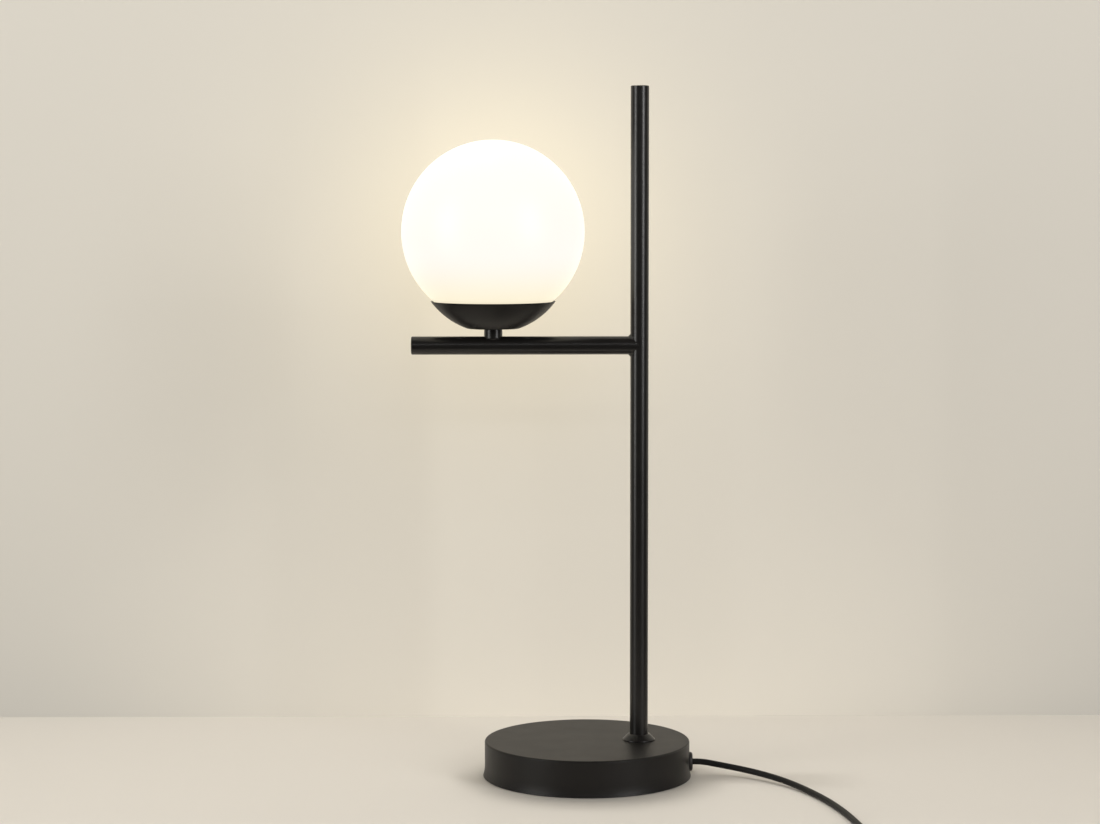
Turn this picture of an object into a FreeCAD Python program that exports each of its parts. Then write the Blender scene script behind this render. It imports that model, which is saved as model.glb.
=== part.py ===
"""A glass globe table lamp: round weighted base, welded tube frame, cup and opal globe, switched mains cord.

Millimetres. The origin is the centre of the base's underside, +X points along the arm towards the upright's
side of the base, +Y away from the viewer and +Z up. Every named piece is written as its own STEP file.
"""

import FreeCAD, Part
import math
import os

V = FreeCAD.Vector
X_AXIS, Y_AXIS, Z_AXIS = V(1, 0, 0), V(0, 1, 0), V(0, 0, 1)
ORIGIN = V(0, 0, 0)

# ---- Fits ----
SNUG = 0.05  # radial gap between turned pieces that are pushed or screwed together
EASY = 0.3  # gap round a sheet, blown or moulded piece
SCREW_END_GAP = 1.0  # between a screw's end and the bottom of its hole
OVERCUT = 1.0  # how far a cutting shape runs past the face it opens
NEAR = 0.1  # how close to a piece's end the edges lie that are rounded there

# ---- Overall sizes ----
TOTAL_H = 570.0
ARM_Z = 358.2  # height of the arm's axis
UPRIGHT_X = 43.0  # upright's axis from the centre of the base
HEAD_REACH = 120.0  # from the upright's axis to the globe's
ARM_TAIL = 67.3  # from the globe's axis to the arm's free end

# ---- Base ----
BASE_R = 85.0
BASE_H = 30.0
COVER_WALL = 1.2
COVER_LIFT = 0.6  # rim of the cover above the table
COVER_EDGE_R = 1.4  # rounding of the top edge
COVER_EDGE_IN_R = 0.8  # the same, inside the shell
FLARE_H = 8.0
FLARE_OUT = 1.3
FLARE_MID_SHARE = 0.25  # share of the flare that is left at half its height
PAD_T = 1.6
PAD_INSET = 5.0
PAD_HOLE_R = 4.6
PLATE_T = 1.0
PLATE_INSET = 2.4
WEIGHT_T = 12.2
WEIGHT_INSET = 5.0
BOSS_R = 7.0
BOSS_CIRCLE_R = 54.0
BOSS_COUNT = 3
BOSS_FIRST_DEG = 45.0
PLATE_SCREW_R = 2.0
PLATE_SCREW_HEAD_R = 4.0
PLATE_SCREW_L = 11.0

# ---- Frame ----
TUBE_R = 7.5
TUBE_WALL = 1.2
CAP_HEAD_T = 1.5
CAP_CHAMFER = 0.6
CAP_PLUG_L = 8.0
COLLAR_R = 13.6
COLLAR_TOP_R = 8.8
COLLAR_H = 5.3
COLLAR_RIM_H = 0.7
BUSH_L = 12.0
NIPPLE_R = 4.9
NIPPLE_BORE_R = 3.6
FOOT_NIPPLE_DROP = 18.8  # how far the nipple hangs below the cover's underside
FOOT_NIPPLE_SUNK = 1.0  # its upper end below the top of the bush
WASHER_R = 10.5
WASHER_T = 1.2
NUT_FLATS = 14.0
NUT_T = 4.5
WIRE_HOLE_R = 4.2
WELD_R = 3.0  # throat of the weld beads
WELD_ROOT = 0.6  # how far the beads are drawn into the tubes before they are cut to them
WELD_END_SHARE = 0.93  # how far round the tube the beads reach, as a share of its radius
WELD_SECTIONS = 11

# ---- Head ----
STEM_SINK = 3.0  # how far the stem is let into the arm
STEM_SHOWN = 6.6  # from the arm's top to the cup
STEM_FOOT_EDGE_R = 2.0
CUP_BOWL_R = 63.5
CUP_RIM_R = 51.2
CUP_DEPTH = 22.2
CUP_WALL = 1.0
VENT_R = 1.6
VENT_CIRCLE_R = 28.0
VENT_COUNT = 6
GLOBE_R = 75.0
GLOBE_WALL = 2.4
GLOBE_MOUTH_R = 36.0
GLOBE_RIM_GAP = 1.0  # between the globe and the inside of the cup's rim
GLOBE_MOUTH_GAP = 1.5  # least height of the globe's mouth over the cup
SEAL_IN_R, SEAL_OUT_R = 40.5, 46.5
SPIDER_T = 0.8
SPIDER_HUB_R = 12.0
SPIDER_ARM_W = 9.0
SPIDER_ARMS = 3
SPIDER_FIRST_DEG = 30.0
SPIDER_FOOT_R = 31.0  # where the arms turn upwards
SPIDER_KNEE_DROP = 2.4  # most that this knee lies below the globe's mouth
SPIDER_TIP_RISE = 10.0  # tip above the globe's mouth
SPIDER_TIP_IN = 2.4  # how far the finger bends in above the mouth
HEAD_NIPPLE_L = 19.0
HEAD_NIPPLE_SUNK = 1.6  # its lower end above the stem's foot
LOCK_WASHER_T = 0.8

# ---- Lampholder and bulb ----
HOLDER_R = 15.0
HOLDER_WALL = 1.8
HOLDER_CAP_H = 18.0
HOLDER_FLOOR = 2.0
HOLDER_CHAMFER = 1.0
HOLDER_BOSS_R = 8.0
HOLDER_BOSS_H = 6.5
SLEEVE_R = 14.4
SLEEVE_H = 34.0
SLEEVE_LIP_R = 9.2
SLEEVE_LIP_T = 2.0
INSERT_DROP = 1.5  # insert's foot below the joint of cap and sleeve
INSERT_FLOOR = 12.0
INSERT_H = 30.0
INSERT_GAP = 0.2  # round the insert
SCREW_SHELL_R = 7.6
SCREW_SHELL_WALL = 0.35
SCREW_SHELL_RISE = 1.6
SCREW_SHELL_SUNK = 0.5  # its rim below the top of the insert
CONTACT_R = 4.0
CONTACT_T = 0.8
CONTACT_BUMP_R = 2.5
CONTACT_BUMP_T = 1.0
BULB_SEAT_GAP = 0.4
TERMINAL_REACH = 9.2
TERMINAL_SCREW_R = 1.5
TERMINAL_HEAD_R = 2.2
TERMINAL_HEAD_T = 2.2
TERMINAL_SCREW_L = 7.0
BULB_CAP_R = 6.95
BULB_CAP_WALL = 0.3
BULB_CAP_LIP = 1.0  # how far the cap reaches in over the insulator
BULB_CAP_CHAMFER = 0.5
BULB_TIP_R = 2.4
BULB_TIP_T = 0.8
BULB_INSULATOR_R = 5.5
BULB_INSULATOR_H = 2.2
BULB_THREAD_H = 16.0
BULB_SKIRT_R = 8.4
BULB_SKIRT_H = 3.5
BULB_NECK_R = 9.5
BULB_NECK_H = 20.5
BULB_NECK_STEP = 0.2
BULB_NECK_BOW = 4.4  # how much wider the housing is at half its height
BULB_R = 22.5
BULB_L = 78.0
BULB_WALL = 1.2
BULB_SPIGOT_L = 8.0
BULB_BOARD_T = 1.6

# ---- Wires and cord ----
CORD_R = 2.5
CORD_EXIT_Z = 11.3
WIRE_R = 1.1
WIRE_SPREAD = 1.35  # each wire's distance from the middle of the tubes
WIRE_BLOCK_BEND_R = 4.0
WIRE_LOOP_BEND_R = 6.0
WIRE_FOOT_BEND_R = 4.2
WIRE_BEND_R = 9.0
WIRE_HEAD_BEND_R = 6.0
WIRE_END_BEND_R = 4.0
WIRE_LOW_Z = 5.2  # lowest run of the lamp wires under the nut
WIRE_LOOP_OUT = 8.5  # how far the lamp wires loop out beside the terminal block
WIRE_LOOP_APART = 3.5
WIRE_LOOP_BACK = 12.0  # from the nipple's axis back to the loop's end
GROMMET_R = 8.0
GROMMET_PROUD = 2.7
GROMMET_NECK_R = 5.5
GROMMET_BACK_R = 7.0
GROMMET_BACK_T = 2.2
GROMMET_EDGE_R = 2.0
CORD_LINE_SHARE = 0.45  # share of a run that each arc of a free cord takes up
CORE_BEND_R = 4.0
CORE_DROP_OUT = 6.0  # where the mains cores come down to the terminal block's ways

# ---- Inside the base: terminal block and clamp ----
BLOCK_X = 2.0
BLOCK_W, BLOCK_L, BLOCK_H = 18.0, 20.0, 11.0
BLOCK_WAY_PITCH = 8.8
BLOCK_WAY_R = 2.4
BLOCK_WAY_BORE_R = 1.6
BLOCK_WAY_DROP = 6.4  # ways below the block's seat
BLOCK_WAY_INSET = 2.0  # how far a wire reaches into the block
BLOCK_WAY_SUNK = 1.0  # ends of the ways inside the block's faces
BLOCK_SCREW_R = 1.3
BLOCK_SLOT_D, BLOCK_SLOT_W = 0.6, 0.5
BLOCK_SCREW_Y = 6.0
CLAMP_X, CLAMP_Y = 30.0, -28.0
CLAMP_W, CLAMP_L, CLAMP_T = 8.0, 27.0, 2.4
CLAMP_SCREW_OFF = 9.5
INNER_SCREW_R = 1.5
INNER_SCREW_L = 13.5
INNER_SCREW_HEAD_R, INNER_SCREW_HEAD_T = 2.75, 1.8

# ---- In-line switch, lying along the cord ----
SWITCH_X, SWITCH_Y = 207.0, -244.0  # middle of the end where the cord goes in
SWITCH_CORD_IN = 10.0  # how far the cord reaches into each end
SWITCH_CORD_Z = 6.5
SWITCH_W, SWITCH_H = 26.0, 15.0
SWITCH_NOSE_L, SWITCH_BODY_L = 20.0, 50.0
SWITCH_NOSE_W, SWITCH_NOSE_H = 9.0, 9.0
SWITCH_EDGE_R = 3.0
SWITCH_NOSE_EDGE_R = 2.0
SWITCH_WALL = 1.7
SWITCH_INNER_EDGE_R = 0.3  # least rounding inside
SWITCH_SCREW_R = 1.4
SWITCH_SCREW_HEAD_R = 2.6
SWITCH_SCREW_HEAD_T = 1.5
SWITCH_SCREW_SUNK = 0.4  # heads inside the underside
SWITCH_SCREW_L = 9.5
SWITCH_SCREW_ALONG = 20.0
SWITCH_SCREW_ACROSS = 8.2
SWITCH_POST_R = 2.6
ROCKER_R = 9.5
ROCKER_W = 10.6
ROCKER_PIVOT_Z = 9.0
ROCKER_DISH_H, ROCKER_END_H = 6.6, 7.2  # top over the pivot, in the middle and at the ends
ROCKER_HEEL = 3.0
ROCKER_TILT = 10.0
ROCKER_PIN_R = 1.0
ROCKER_PIN_L = 17.0
ROCKER_EAR_T = 2.4
ROCKER_EAR_R = 2.6
CONTACT_BLADE_L, CONTACT_BLADE_W, CONTACT_BLADE_T = 9.0, 4.0, 0.8
CONTACT_ALONG = 9.0

# ---- Mains plug ----
PLUG_W, PLUG_H = 35.3, 13.7
PLUG_FACE_L, PLUG_TAPER_L = 8.0, 28.0
PLUG_NECK_W, PLUG_NECK_H = 14.0, 11.0
PLUG_EDGE_R = 5.0
PLUG_NECK_EDGE_R = 4.5
PLUG_PIN_R = 2.0
PLUG_PIN_TIP_R = 1.2  # rounding of the ends
PLUG_PIN_CORE_R = 1.5  # under the sleeves, which are flush with the bare ends
PLUG_PIN_L = 19.0
PLUG_PIN_BARE_L = 9.0
PLUG_PIN_ROOT_L = 10.0
PLUG_PIN_PITCH = 18.6
PLUG_CORD_IN = 7.0  # how far the cord reaches into the strain relief
RELIEF_L = 28.0
RELIEF_WALL, RELIEF_TIP_WALL = 2.7, 1.0  # round the cord, at the plug and at the mouth
RELIEF_RINGS = 5
RELIEF_FIRST_RING, RELIEF_RING_PITCH = 3.5, 5.0
RELIEF_RING_W, RELIEF_RING_DEPTH = 2.2, 0.7

# ---- Put-away coil ----
COIL_IN_R = 21.25
COIL_TURN_GAP = 0.5
COIL_LIFT = 0.6  # the tie's strap lies under the turns
COIL_TURNS_IN, COIL_TURNS_OUT = 3.0, 3.25
COIL_CLIMB_TURNS = 0.5
COIL_STEP = 0.25
COIL_GAP_LIMIT = 0.4
COIL_GAP_STEPS = 12  # points measured on each arc
TIE_T = 0.5
TIE_W = 4.0

# Routes of the free cord, as x, y and height of its middle over the table.
LEAD_ROUTE = [
    (95.5, 0.0, 11.3),
    (105.5, -1.6, 9.7),
    (116.5, -5.2, 8.3),
    (128.5, -11.3, 7.1),
    (141.5, -21.1, 6.0),
    (155.0, -35.2, 4.9),
    (168.0, -54.2, 3.7),
    (180.0, -78.8, 2.7),
    (190.5, -110.5, 2.5),
    (199.0, -149.4, 2.5),
    (204.2, -185.7, 2.5),
    (206.6, -214.0, 3.6),
    (207.0, -234.0, 6.5),
]
BRIDGE_ROUTE = [
    (207.0, -343.0, 6.5),
    (197.5, -359.5, 4.2),
    (181.0, -369.0, 2.7),
    (162.0, -369.0, 2.5),
    (145.5, -359.5, 2.6),
    (136.0, -343.0, 3.1),
]
COIL_START = (136.0, -324.0)
TAIL_STEPS = [(-13.0, 0.0, 0.0), (-26.0, -2.0, -0.8), (-39.0, -3.5, -1.75), (-52.0, -3.5, -1.75)]
# Route of the sheathed cord inside the base, and where its sheath ends.
INNER_ROUTE = [
    (78.0, 0.0, 11.3),
    (69.0, -3.8, 11.5),
    (60.5, -10.5, 12.2),
    (51.5, -18.2, 13.1),
    (43.0, -25.0, 13.8),
    (33.0, -28.0, 13.8),
]
SHEATH_END = (24.0, -28.0, 13.8)

# ---- Places worked out from the sizes above ----
HEAD_X = UPRIGHT_X - HEAD_REACH
ARM_END_X = HEAD_X - ARM_TAIL
TUBE_BORE_R = TUBE_R - TUBE_WALL
CORD_D = 2 * CORD_R
COVER_UNDER_Z = BASE_H - COVER_WALL
WEIGHT_Z = COVER_UNDER_Z - WEIGHT_T
PLATE_Z = PAD_T
BOSS_FOOT_Z = PLATE_Z + PLATE_T
STEM_FOOT_Z = ARM_Z + TUBE_R - STEM_SINK
CUP_Z = ARM_Z + TUBE_R + STEM_SHOWN
RIM_Z = CUP_Z + CUP_DEPTH
BOWL_Z = RIM_Z + math.sqrt(CUP_BOWL_R**2 - CUP_RIM_R**2)
CUP_FLAT_R = math.sqrt(CUP_BOWL_R**2 - (BOWL_Z - CUP_Z) ** 2)
CUP_IN_R = CUP_BOWL_R - CUP_WALL
CUP_FLOOR_Z = CUP_Z + CUP_WALL
CUP_RIM_IN_R = math.sqrt(CUP_IN_R**2 - (BOWL_Z - RIM_Z) ** 2)
HOLDER_Z = CUP_FLOOR_Z + SPIDER_T + LOCK_WASHER_T
SLEEVE_Z = HOLDER_Z + HOLDER_CAP_H
INSERT_Z = SLEEVE_Z - INSERT_DROP
HOLDER_BED_Z = INSERT_Z + INSERT_FLOOR
BULB_Z = HOLDER_BED_Z + CONTACT_T + CONTACT_BUMP_T + BULB_SEAT_GAP
BULB_SKIRT_Z = BULB_Z + BULB_TIP_T + BULB_INSULATOR_H + BULB_THREAD_H
BULB_NECK_Z = BULB_SKIRT_Z + BULB_SKIRT_H
BULB_SEAM_Z = BULB_NECK_Z + BULB_NECK_H
BULB_TOP_Z = BULB_Z + BULB_L
BULB_MID_Z = BULB_TOP_Z - BULB_R


def low_side(radius, middle_z, out):
    """Height of the lower half of a sphere at a distance from its axis."""
    return middle_z - math.sqrt(radius**2 - out**2)


GLOBE_Z = max(
    RIM_Z + math.sqrt(GLOBE_R**2 - (CUP_RIM_IN_R - GLOBE_RIM_GAP) ** 2),
    low_side(CUP_IN_R, BOWL_Z, GLOBE_MOUTH_R) + GLOBE_MOUTH_GAP + math.sqrt(GLOBE_R**2 - GLOBE_MOUTH_R**2),
)
GLOBE_IN_R = GLOBE_R - GLOBE_WALL
MOUTH_Z = low_side(GLOBE_IN_R, GLOBE_Z, GLOBE_MOUTH_R)


# ---- Shape helpers ----
def unit(way):
    """A vector's direction."""
    return V(way).normalize()


def rod(start, end, radius):
    """A round bar from one point to another."""
    return Part.makeCylinder(radius, (end - start).Length, start, end - start)


def post(x, y, low, high, radius):
    """An upright round bar."""
    return rod(V(x, y, low), V(x, y, high), radius)


def ring(x, y, low, high, radius, bore):
    """An upright round bar with a bore."""
    return post(x, y, low, high, radius).cut(post(x, y, low, high, bore))


def block(x, y, low, high, width, length):
    """An upright box about a vertical line."""
    return Part.makeBox(width, length, high - low, V(x - width / 2, y - length / 2, low))


def outline(start, steps):
    """A face in the XZ plane. A step is a point to run to, or a pair of points to arc through."""
    first = V(start[0], 0, start[1])
    at, edges = first, []
    for step in steps:
        stops = [V(x, 0, z) for x, z in (step if isinstance(step[0], tuple) else (step,))]
        curve = Part.Arc(at, *stops).toShape() if len(stops) == 2 else Part.makeLine(at, stops[0])
        edges.append(curve)
        at = stops[-1]
    edges.append(Part.makeLine(at, first))
    return Part.Face(Part.Wire(edges))


def turned(x, start, *steps):
    """A solid turned about the vertical line at x, from an outline of radii and heights."""
    solid = outline(start, steps).revolve(ORIGIN, Z_AXIS, 360)
    solid.translate(V(x, 0, 0))
    return solid


def round_box(width, height, corner, middle, way):
    """A rounded rectangle as a wire, square to a level direction, for lofts."""
    across = way.cross(Z_AXIS)
    half_w, half_h = width / 2 - corner, height / 2 - corner
    slant = corner / math.sqrt(2)
    points = []
    for side, up in ((1, 1), (-1, 1), (-1, -1), (1, -1)):
        heel = middle + across * (side * half_w) + Z_AXIS * (up * half_h)
        flank, crown = heel + across * (side * corner), heel + Z_AXIS * (up * corner)
        knee = heel + across * (side * slant) + Z_AXIS * (up * slant)
        points.append((flank, knee, crown) if side == up else (crown, knee, flank))
    edges = []
    for here, after in zip(points, points[1:] + points[:1]):
        edges.append(Part.Arc(*here).toShape())
        edges.append(Part.makeLine(here[2], after[0]))
    return Part.Wire(edges)


def merged(shapes):
    """Several overlapping shapes as one solid."""
    return shapes[0].multiFuse(shapes[1:]).removeSplitter()


def on_circle(count, radius, first_deg=0.0):
    """Places spaced evenly round a circle: x, y and the angle in degrees."""
    for i in range(count):
        turn = first_deg + 360.0 * i / count
        yield radius * math.cos(math.radians(turn)), radius * math.sin(math.radians(turn)), turn


# ---- Cord helpers ----
def corner_arc(before, corner, after, radius=None):
    """The tangent arc at a corner of a route, and its radius, as large as the runs allow if none is given."""
    into, out = unit(corner - before), unit(after - corner)
    half = into.getAngle(out) / 2
    if radius is None:
        shorter = min((corner - before).Length, (after - corner).Length)
        radius = CORD_LINE_SHARE * shorter / math.tan(half)
    setback = radius * math.tan(half)
    middle = corner + unit(out - into) * (radius / math.cos(half) - radius)
    return Part.Arc(corner - into * setback, middle, corner + out * setback).toShape(), radius


def route(points, radii=None):
    """Straight runs joined by tangent arcs, as edges, and the arcs' radii."""
    at, edges, bends = points[0], [], []
    for i in range(1, len(points) - 1):
        arc, radius = corner_arc(points[i - 1], points[i], points[i + 1], radii and radii[i - 1])
        edges += [Part.makeLine(at, arc.Vertexes[0].Point), arc]
        at = arc.Vertexes[-1].Point
        bends.append(radius)
    edges.append(Part.makeLine(at, points[-1]))
    return edges, bends


def swept(edges, radius):
    """A round tube along joined edges."""
    first = edges[0]
    way = first.tangentAt(first.FirstParameter)
    hoop = Part.Wire(Part.makeCircle(radius, first.valueAt(first.FirstParameter), way))
    return Part.Wire(edges).makePipeShell([hoop], True, False)


def report_tube(name, edges, bends, radius, solid):
    """Print a tube's length, its bends, and its volume against its section times its length."""
    length = sum(edge.Length for edge in edges)
    share = solid.Volume / (math.pi * radius**2 * length)
    print(f"{name}: length {length:.1f}, volume share {share:.4f}, radii {[round(b, 1) for b in bends]}")


def free_cord(name, points):
    """A free stretch of the cord."""
    edges, bends = route(points)
    solid = swept(edges, CORD_R)
    report_tube(name, edges, bends, CORD_R, solid)
    return solid


def biarc(start, start_way, end, end_way):
    """Two arcs that join two points and keep the direction at each."""
    gap, ways = end - start, start_way + end_way
    bow = 2 * (1 - start_way.dot(end_way))
    lean = gap.dot(ways)
    reach = (math.sqrt(lean**2 + bow * gap.dot(gap)) - lean) / bow
    joint = (start + start_way * reach + end - end_way * reach) * 0.5
    return [
        corner_through(start, start + start_way * reach, joint),
        corner_through(joint, end - end_way * reach, end),
    ]


def corner_through(start, corner, end):
    """The arc from start to end whose tangents meet at a corner as far from both."""
    into, out = unit(corner - start), unit(end - corner)
    half = into.getAngle(out) / 2
    radius = (corner - start).Length / math.tan(half)
    return Part.Arc(start, corner + unit(out - into) * (radius / math.cos(half) - radius), end).toShape()


# ---- Base ----
def cover_face(inset):
    """Half section of the drum, from its axis to its outer face, set in by a wall."""
    side, rim = BASE_R - inset, BASE_R + FLARE_OUT - inset
    top, soft = BASE_H - inset, COVER_EDGE_IN_R if inset else COVER_EDGE_R
    bend = soft / math.sqrt(2)
    return (
        (0.0, COVER_LIFT),
        [
            (rim, COVER_LIFT),
            ((side + FLARE_OUT * FLARE_MID_SHARE, COVER_LIFT + FLARE_H / 2), (side, COVER_LIFT + FLARE_H)),
            (side, top - soft),
            ((side - soft + bend, top - soft + bend), (side - soft, top)),
            (0.0, top),
        ],
    )


def drum(inset):
    """The drum as one body, set in by a wall."""
    start, steps = cover_face(inset)
    return turned(0.0, start, *steps)


def base_cover():
    """Pressed shell with a hole for the frame's nipple and one for the cord."""
    shell = drum(0.0).cut(drum(COVER_WALL))
    shell = shell.cut(post(UPRIGHT_X, 0, COVER_UNDER_Z - OVERCUT, BASE_H + OVERCUT, NIPPLE_R + EASY))
    start, end = V(BASE_R - GROMMET_R, 0, CORD_EXIT_Z), V(BASE_R + GROMMET_R, 0, CORD_EXIT_Z)
    return shell.cut(rod(start, end, GROMMET_NECK_R + SNUG))


def base_weight():
    """Cast disc under the cover, with bosses that carry the bottom plate."""
    radius = BASE_R - COVER_WALL - WEIGHT_INSET
    shapes = [post(0, 0, WEIGHT_Z, COVER_UNDER_Z, radius)]
    for x, y, _ in on_circle(BOSS_COUNT, BOSS_CIRCLE_R, BOSS_FIRST_DEG):
        shapes.append(post(x, y, BOSS_FOOT_Z, WEIGHT_Z + OVERCUT, BOSS_R))
    weight = merged(shapes)
    for x, y, _ in on_circle(BOSS_COUNT, BOSS_CIRCLE_R, BOSS_FIRST_DEG):
        hole_end = BOSS_FOOT_Z + PLATE_SCREW_L + SCREW_END_GAP
        weight = weight.cut(post(x, y, BOSS_FOOT_Z, hole_end, PLATE_SCREW_R + SNUG))
    weight = weight.cut(post(UPRIGHT_X, 0, WEIGHT_Z, COVER_UNDER_Z, NIPPLE_R + EASY))
    for x, y, seat in inner_screw_places():
        weight = weight.cut(post(x, y, WEIGHT_Z, seat + INNER_SCREW_L + EASY, INNER_SCREW_R + SNUG))
    return weight


def bottom_plate():
    """Sheet that closes the base from below."""
    plate = post(0, 0, PLATE_Z, BOSS_FOOT_Z, BASE_R - COVER_WALL - PLATE_INSET)
    for x, y, _ in on_circle(BOSS_COUNT, BOSS_CIRCLE_R, BOSS_FIRST_DEG):
        hole = Part.makeCone(
            PLATE_SCREW_HEAD_R + SNUG, PLATE_SCREW_HEAD_R + SNUG - PLATE_T, PLATE_T, V(x, y, PLATE_Z)
        )
        plate = plate.cut(hole)
    return plate


def plate_screws():
    """Countersunk screws, flush with the plate."""
    screws = []
    for x, y, _ in on_circle(BOSS_COUNT, BOSS_CIRCLE_R, BOSS_FIRST_DEG):
        head = Part.makeCone(PLATE_SCREW_HEAD_R, PLATE_SCREW_HEAD_R - PLATE_T, PLATE_T, V(x, y, PLATE_Z))
        shank = post(x, y, PLATE_Z, BOSS_FOOT_Z + PLATE_SCREW_L, PLATE_SCREW_R)
        slot = block(x, y, PLATE_Z, PLATE_Z + PLATE_T / 2, PLATE_SCREW_HEAD_R * 2, PLATE_T)
        screws.append(merged([head, shank]).cut(slot))
    return Part.makeCompound(screws)


def foot_pad():
    """Foam sheet that the lamp stands on."""
    pad = post(0, 0, 0, PAD_T, BASE_R - PAD_INSET)
    for x, y, _ in on_circle(BOSS_COUNT, BOSS_CIRCLE_R, BOSS_FIRST_DEG):
        pad = pad.cut(post(x, y, 0, PAD_T, PAD_HOLE_R))
    return pad


def cord_grommet():
    """Round flanged bushing in the wall of the base."""
    reach = BASE_R + FLARE_OUT
    face = BASE_R + GROMMET_PROUD
    flange = rod(V(0, 0, CORD_EXIT_Z), V(face, 0, CORD_EXIT_Z), GROMMET_R)
    flange = flange.makeFillet(GROMMET_EDGE_R, [e for e in flange.Edges if e.BoundBox.XMin > face - NEAR])
    flange = flange.cut(drum(0.0))
    back_x = BASE_R - COVER_WALL - GROMMET_BACK_T
    back = rod(V(back_x, 0, CORD_EXIT_Z), V(reach, 0, CORD_EXIT_Z), GROMMET_BACK_R).common(drum(COVER_WALL))
    neck = rod(V(back_x, 0, CORD_EXIT_Z), V(face, 0, CORD_EXIT_Z), GROMMET_NECK_R)
    bore = rod(V(0, 0, CORD_EXIT_Z), V(reach + GROMMET_R, 0, CORD_EXIT_Z), CORD_R + SNUG)
    return merged([flange, back, neck]).cut(bore)


# ---- Frame ----
def foot_collar():
    """Cone round the foot of the upright."""
    bore, rim = TUBE_R + SNUG, BASE_H + COLLAR_RIM_H
    top = BASE_H + COLLAR_H
    return turned(
        UPRIGHT_X, (bore, BASE_H), (COLLAR_R, BASE_H), (COLLAR_R, rim), (COLLAR_TOP_R, top), (bore, top)
    )


def upright_tube():
    """Standing tube, open at its foot, with the hole that lets the wires into the arm."""
    tube = ring(UPRIGHT_X, 0, BASE_H, TOTAL_H - CAP_HEAD_T, TUBE_R, TUBE_BORE_R)
    return tube.cut(rod(V(UPRIGHT_X - 2 * TUBE_R, 0, ARM_Z), V(UPRIGHT_X, 0, ARM_Z), WIRE_HOLE_R))


def tube_cap(seat, way):
    """Plug with a chamfered head that closes a tube's end."""
    head = Part.makeCylinder(TUBE_R, CAP_HEAD_T - CAP_CHAMFER, seat, way)
    nose = Part.makeCone(
        TUBE_R, TUBE_R - CAP_CHAMFER, CAP_CHAMFER, seat + way * (CAP_HEAD_T - CAP_CHAMFER), way
    )
    plug = rod(seat - way * CAP_PLUG_L, seat, TUBE_BORE_R - SNUG)
    return merged([head, nose, plug])


def arm_tube():
    """Level tube, coped to the upright, with a round-cornered seat for the stem."""
    start, end = V(ARM_END_X + CAP_HEAD_T, 0, ARM_Z), V(UPRIGHT_X, 0, ARM_Z)
    arm = rod(start, end, TUBE_R).cut(rod(start, end, TUBE_BORE_R))
    arm = arm.cut(post(UPRIGHT_X, 0, ARM_Z - 3 * TUBE_R, ARM_Z + 3 * TUBE_R, TUBE_R))
    arm = arm.cut(stem_form(ARM_Z + 2 * TUBE_R, SNUG))
    return arm.cut(post(HEAD_X, 0, ARM_Z, ARM_Z + 2 * TUBE_R, WIRE_HOLE_R))


def weld_section(y, up):
    """Cross-section of a weld bead at a distance along Y, above or below the arm."""
    side = math.sqrt(TUBE_R**2 - y**2)
    throat = WELD_R * math.sqrt(1 - (y / TUBE_R) ** 2)
    hollow = throat * (1 - 1 / math.sqrt(2))
    corner = V(UPRIGHT_X - side, y, ARM_Z + up * side)
    root = corner + V(WELD_ROOT, 0, -up * WELD_ROOT)
    high, far = corner + V(WELD_ROOT, 0, up * throat), corner + V(-throat, 0, -up * WELD_ROOT)
    knee = corner + V(-hollow, 0, up * hollow)
    hollow_edge = Part.Arc(high, knee, far).toShape()
    return Part.Wire([Part.makeLine(root, high), hollow_edge, Part.makeLine(far, root)])


def arm_welds():
    """Hollow weld beads above and below the arm, shaped to both tubes."""
    reach = WELD_END_SHARE * TUBE_R
    stations = [reach * (2 * i / (WELD_SECTIONS - 1) - 1) for i in range(WELD_SECTIONS)]
    beads = [Part.makeLoft([weld_section(y, up) for y in stations], True, False) for up in (1, -1)]
    upright = post(UPRIGHT_X, 0, ARM_Z - 3 * TUBE_R, ARM_Z + 3 * TUBE_R, TUBE_R)
    arm = rod(V(HEAD_X, 0, ARM_Z), V(UPRIGHT_X, 0, ARM_Z), TUBE_R)
    return Part.makeCompound([bead.cut(upright).cut(arm) for bead in beads])


def foot_bush():
    """Threaded bush in the foot of the upright."""
    return ring(UPRIGHT_X, 0, BASE_H, BASE_H + BUSH_L, TUBE_BORE_R - SNUG, NIPPLE_R + SNUG)


def foot_nipple_end():
    """Height of the lower end of the foot nipple."""
    return COVER_UNDER_Z - FOOT_NIPPLE_DROP


def foot_nipple():
    """Hollow threaded rod that clamps frame, cover and weight together."""
    return ring(UPRIGHT_X, 0, foot_nipple_end(), BASE_H + BUSH_L - FOOT_NIPPLE_SUNK, NIPPLE_R, NIPPLE_BORE_R)


def foot_washer():
    """Washer under the weight."""
    return ring(UPRIGHT_X, 0, WEIGHT_Z - WASHER_T, WEIGHT_Z, WASHER_R, NIPPLE_R + EASY)


def foot_nut():
    """Thin hexagon nut on the foot nipple."""
    top = WEIGHT_Z - WASHER_T
    corners = [
        V(UPRIGHT_X + x, y, top - NUT_T) for x, y, _ in on_circle(6, NUT_FLATS / math.sqrt(3), 30.0)
    ]
    nut = Part.Face(Part.makePolygon(corners + corners[:1])).extrude(V(0, 0, NUT_T))
    return nut.cut(post(UPRIGHT_X, 0, top - NUT_T, top, NIPPLE_R + SNUG))


# ---- Head ----
def stem_form(top, gap):
    """The stem as a full bar with a rounded foot, with a gap round its side."""
    bar = post(HEAD_X, 0, STEM_FOOT_Z, top, TUBE_R + gap)
    return bar.makeFillet(STEM_FOOT_EDGE_R, [e for e in bar.Edges if e.BoundBox.ZMax < STEM_FOOT_Z + NEAR])


def stem():
    """Threaded spacer between arm and cup."""
    return stem_form(CUP_Z, 0.0).cut(post(HEAD_X, 0, STEM_FOOT_Z, CUP_Z, NIPPLE_R + SNUG))


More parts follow.
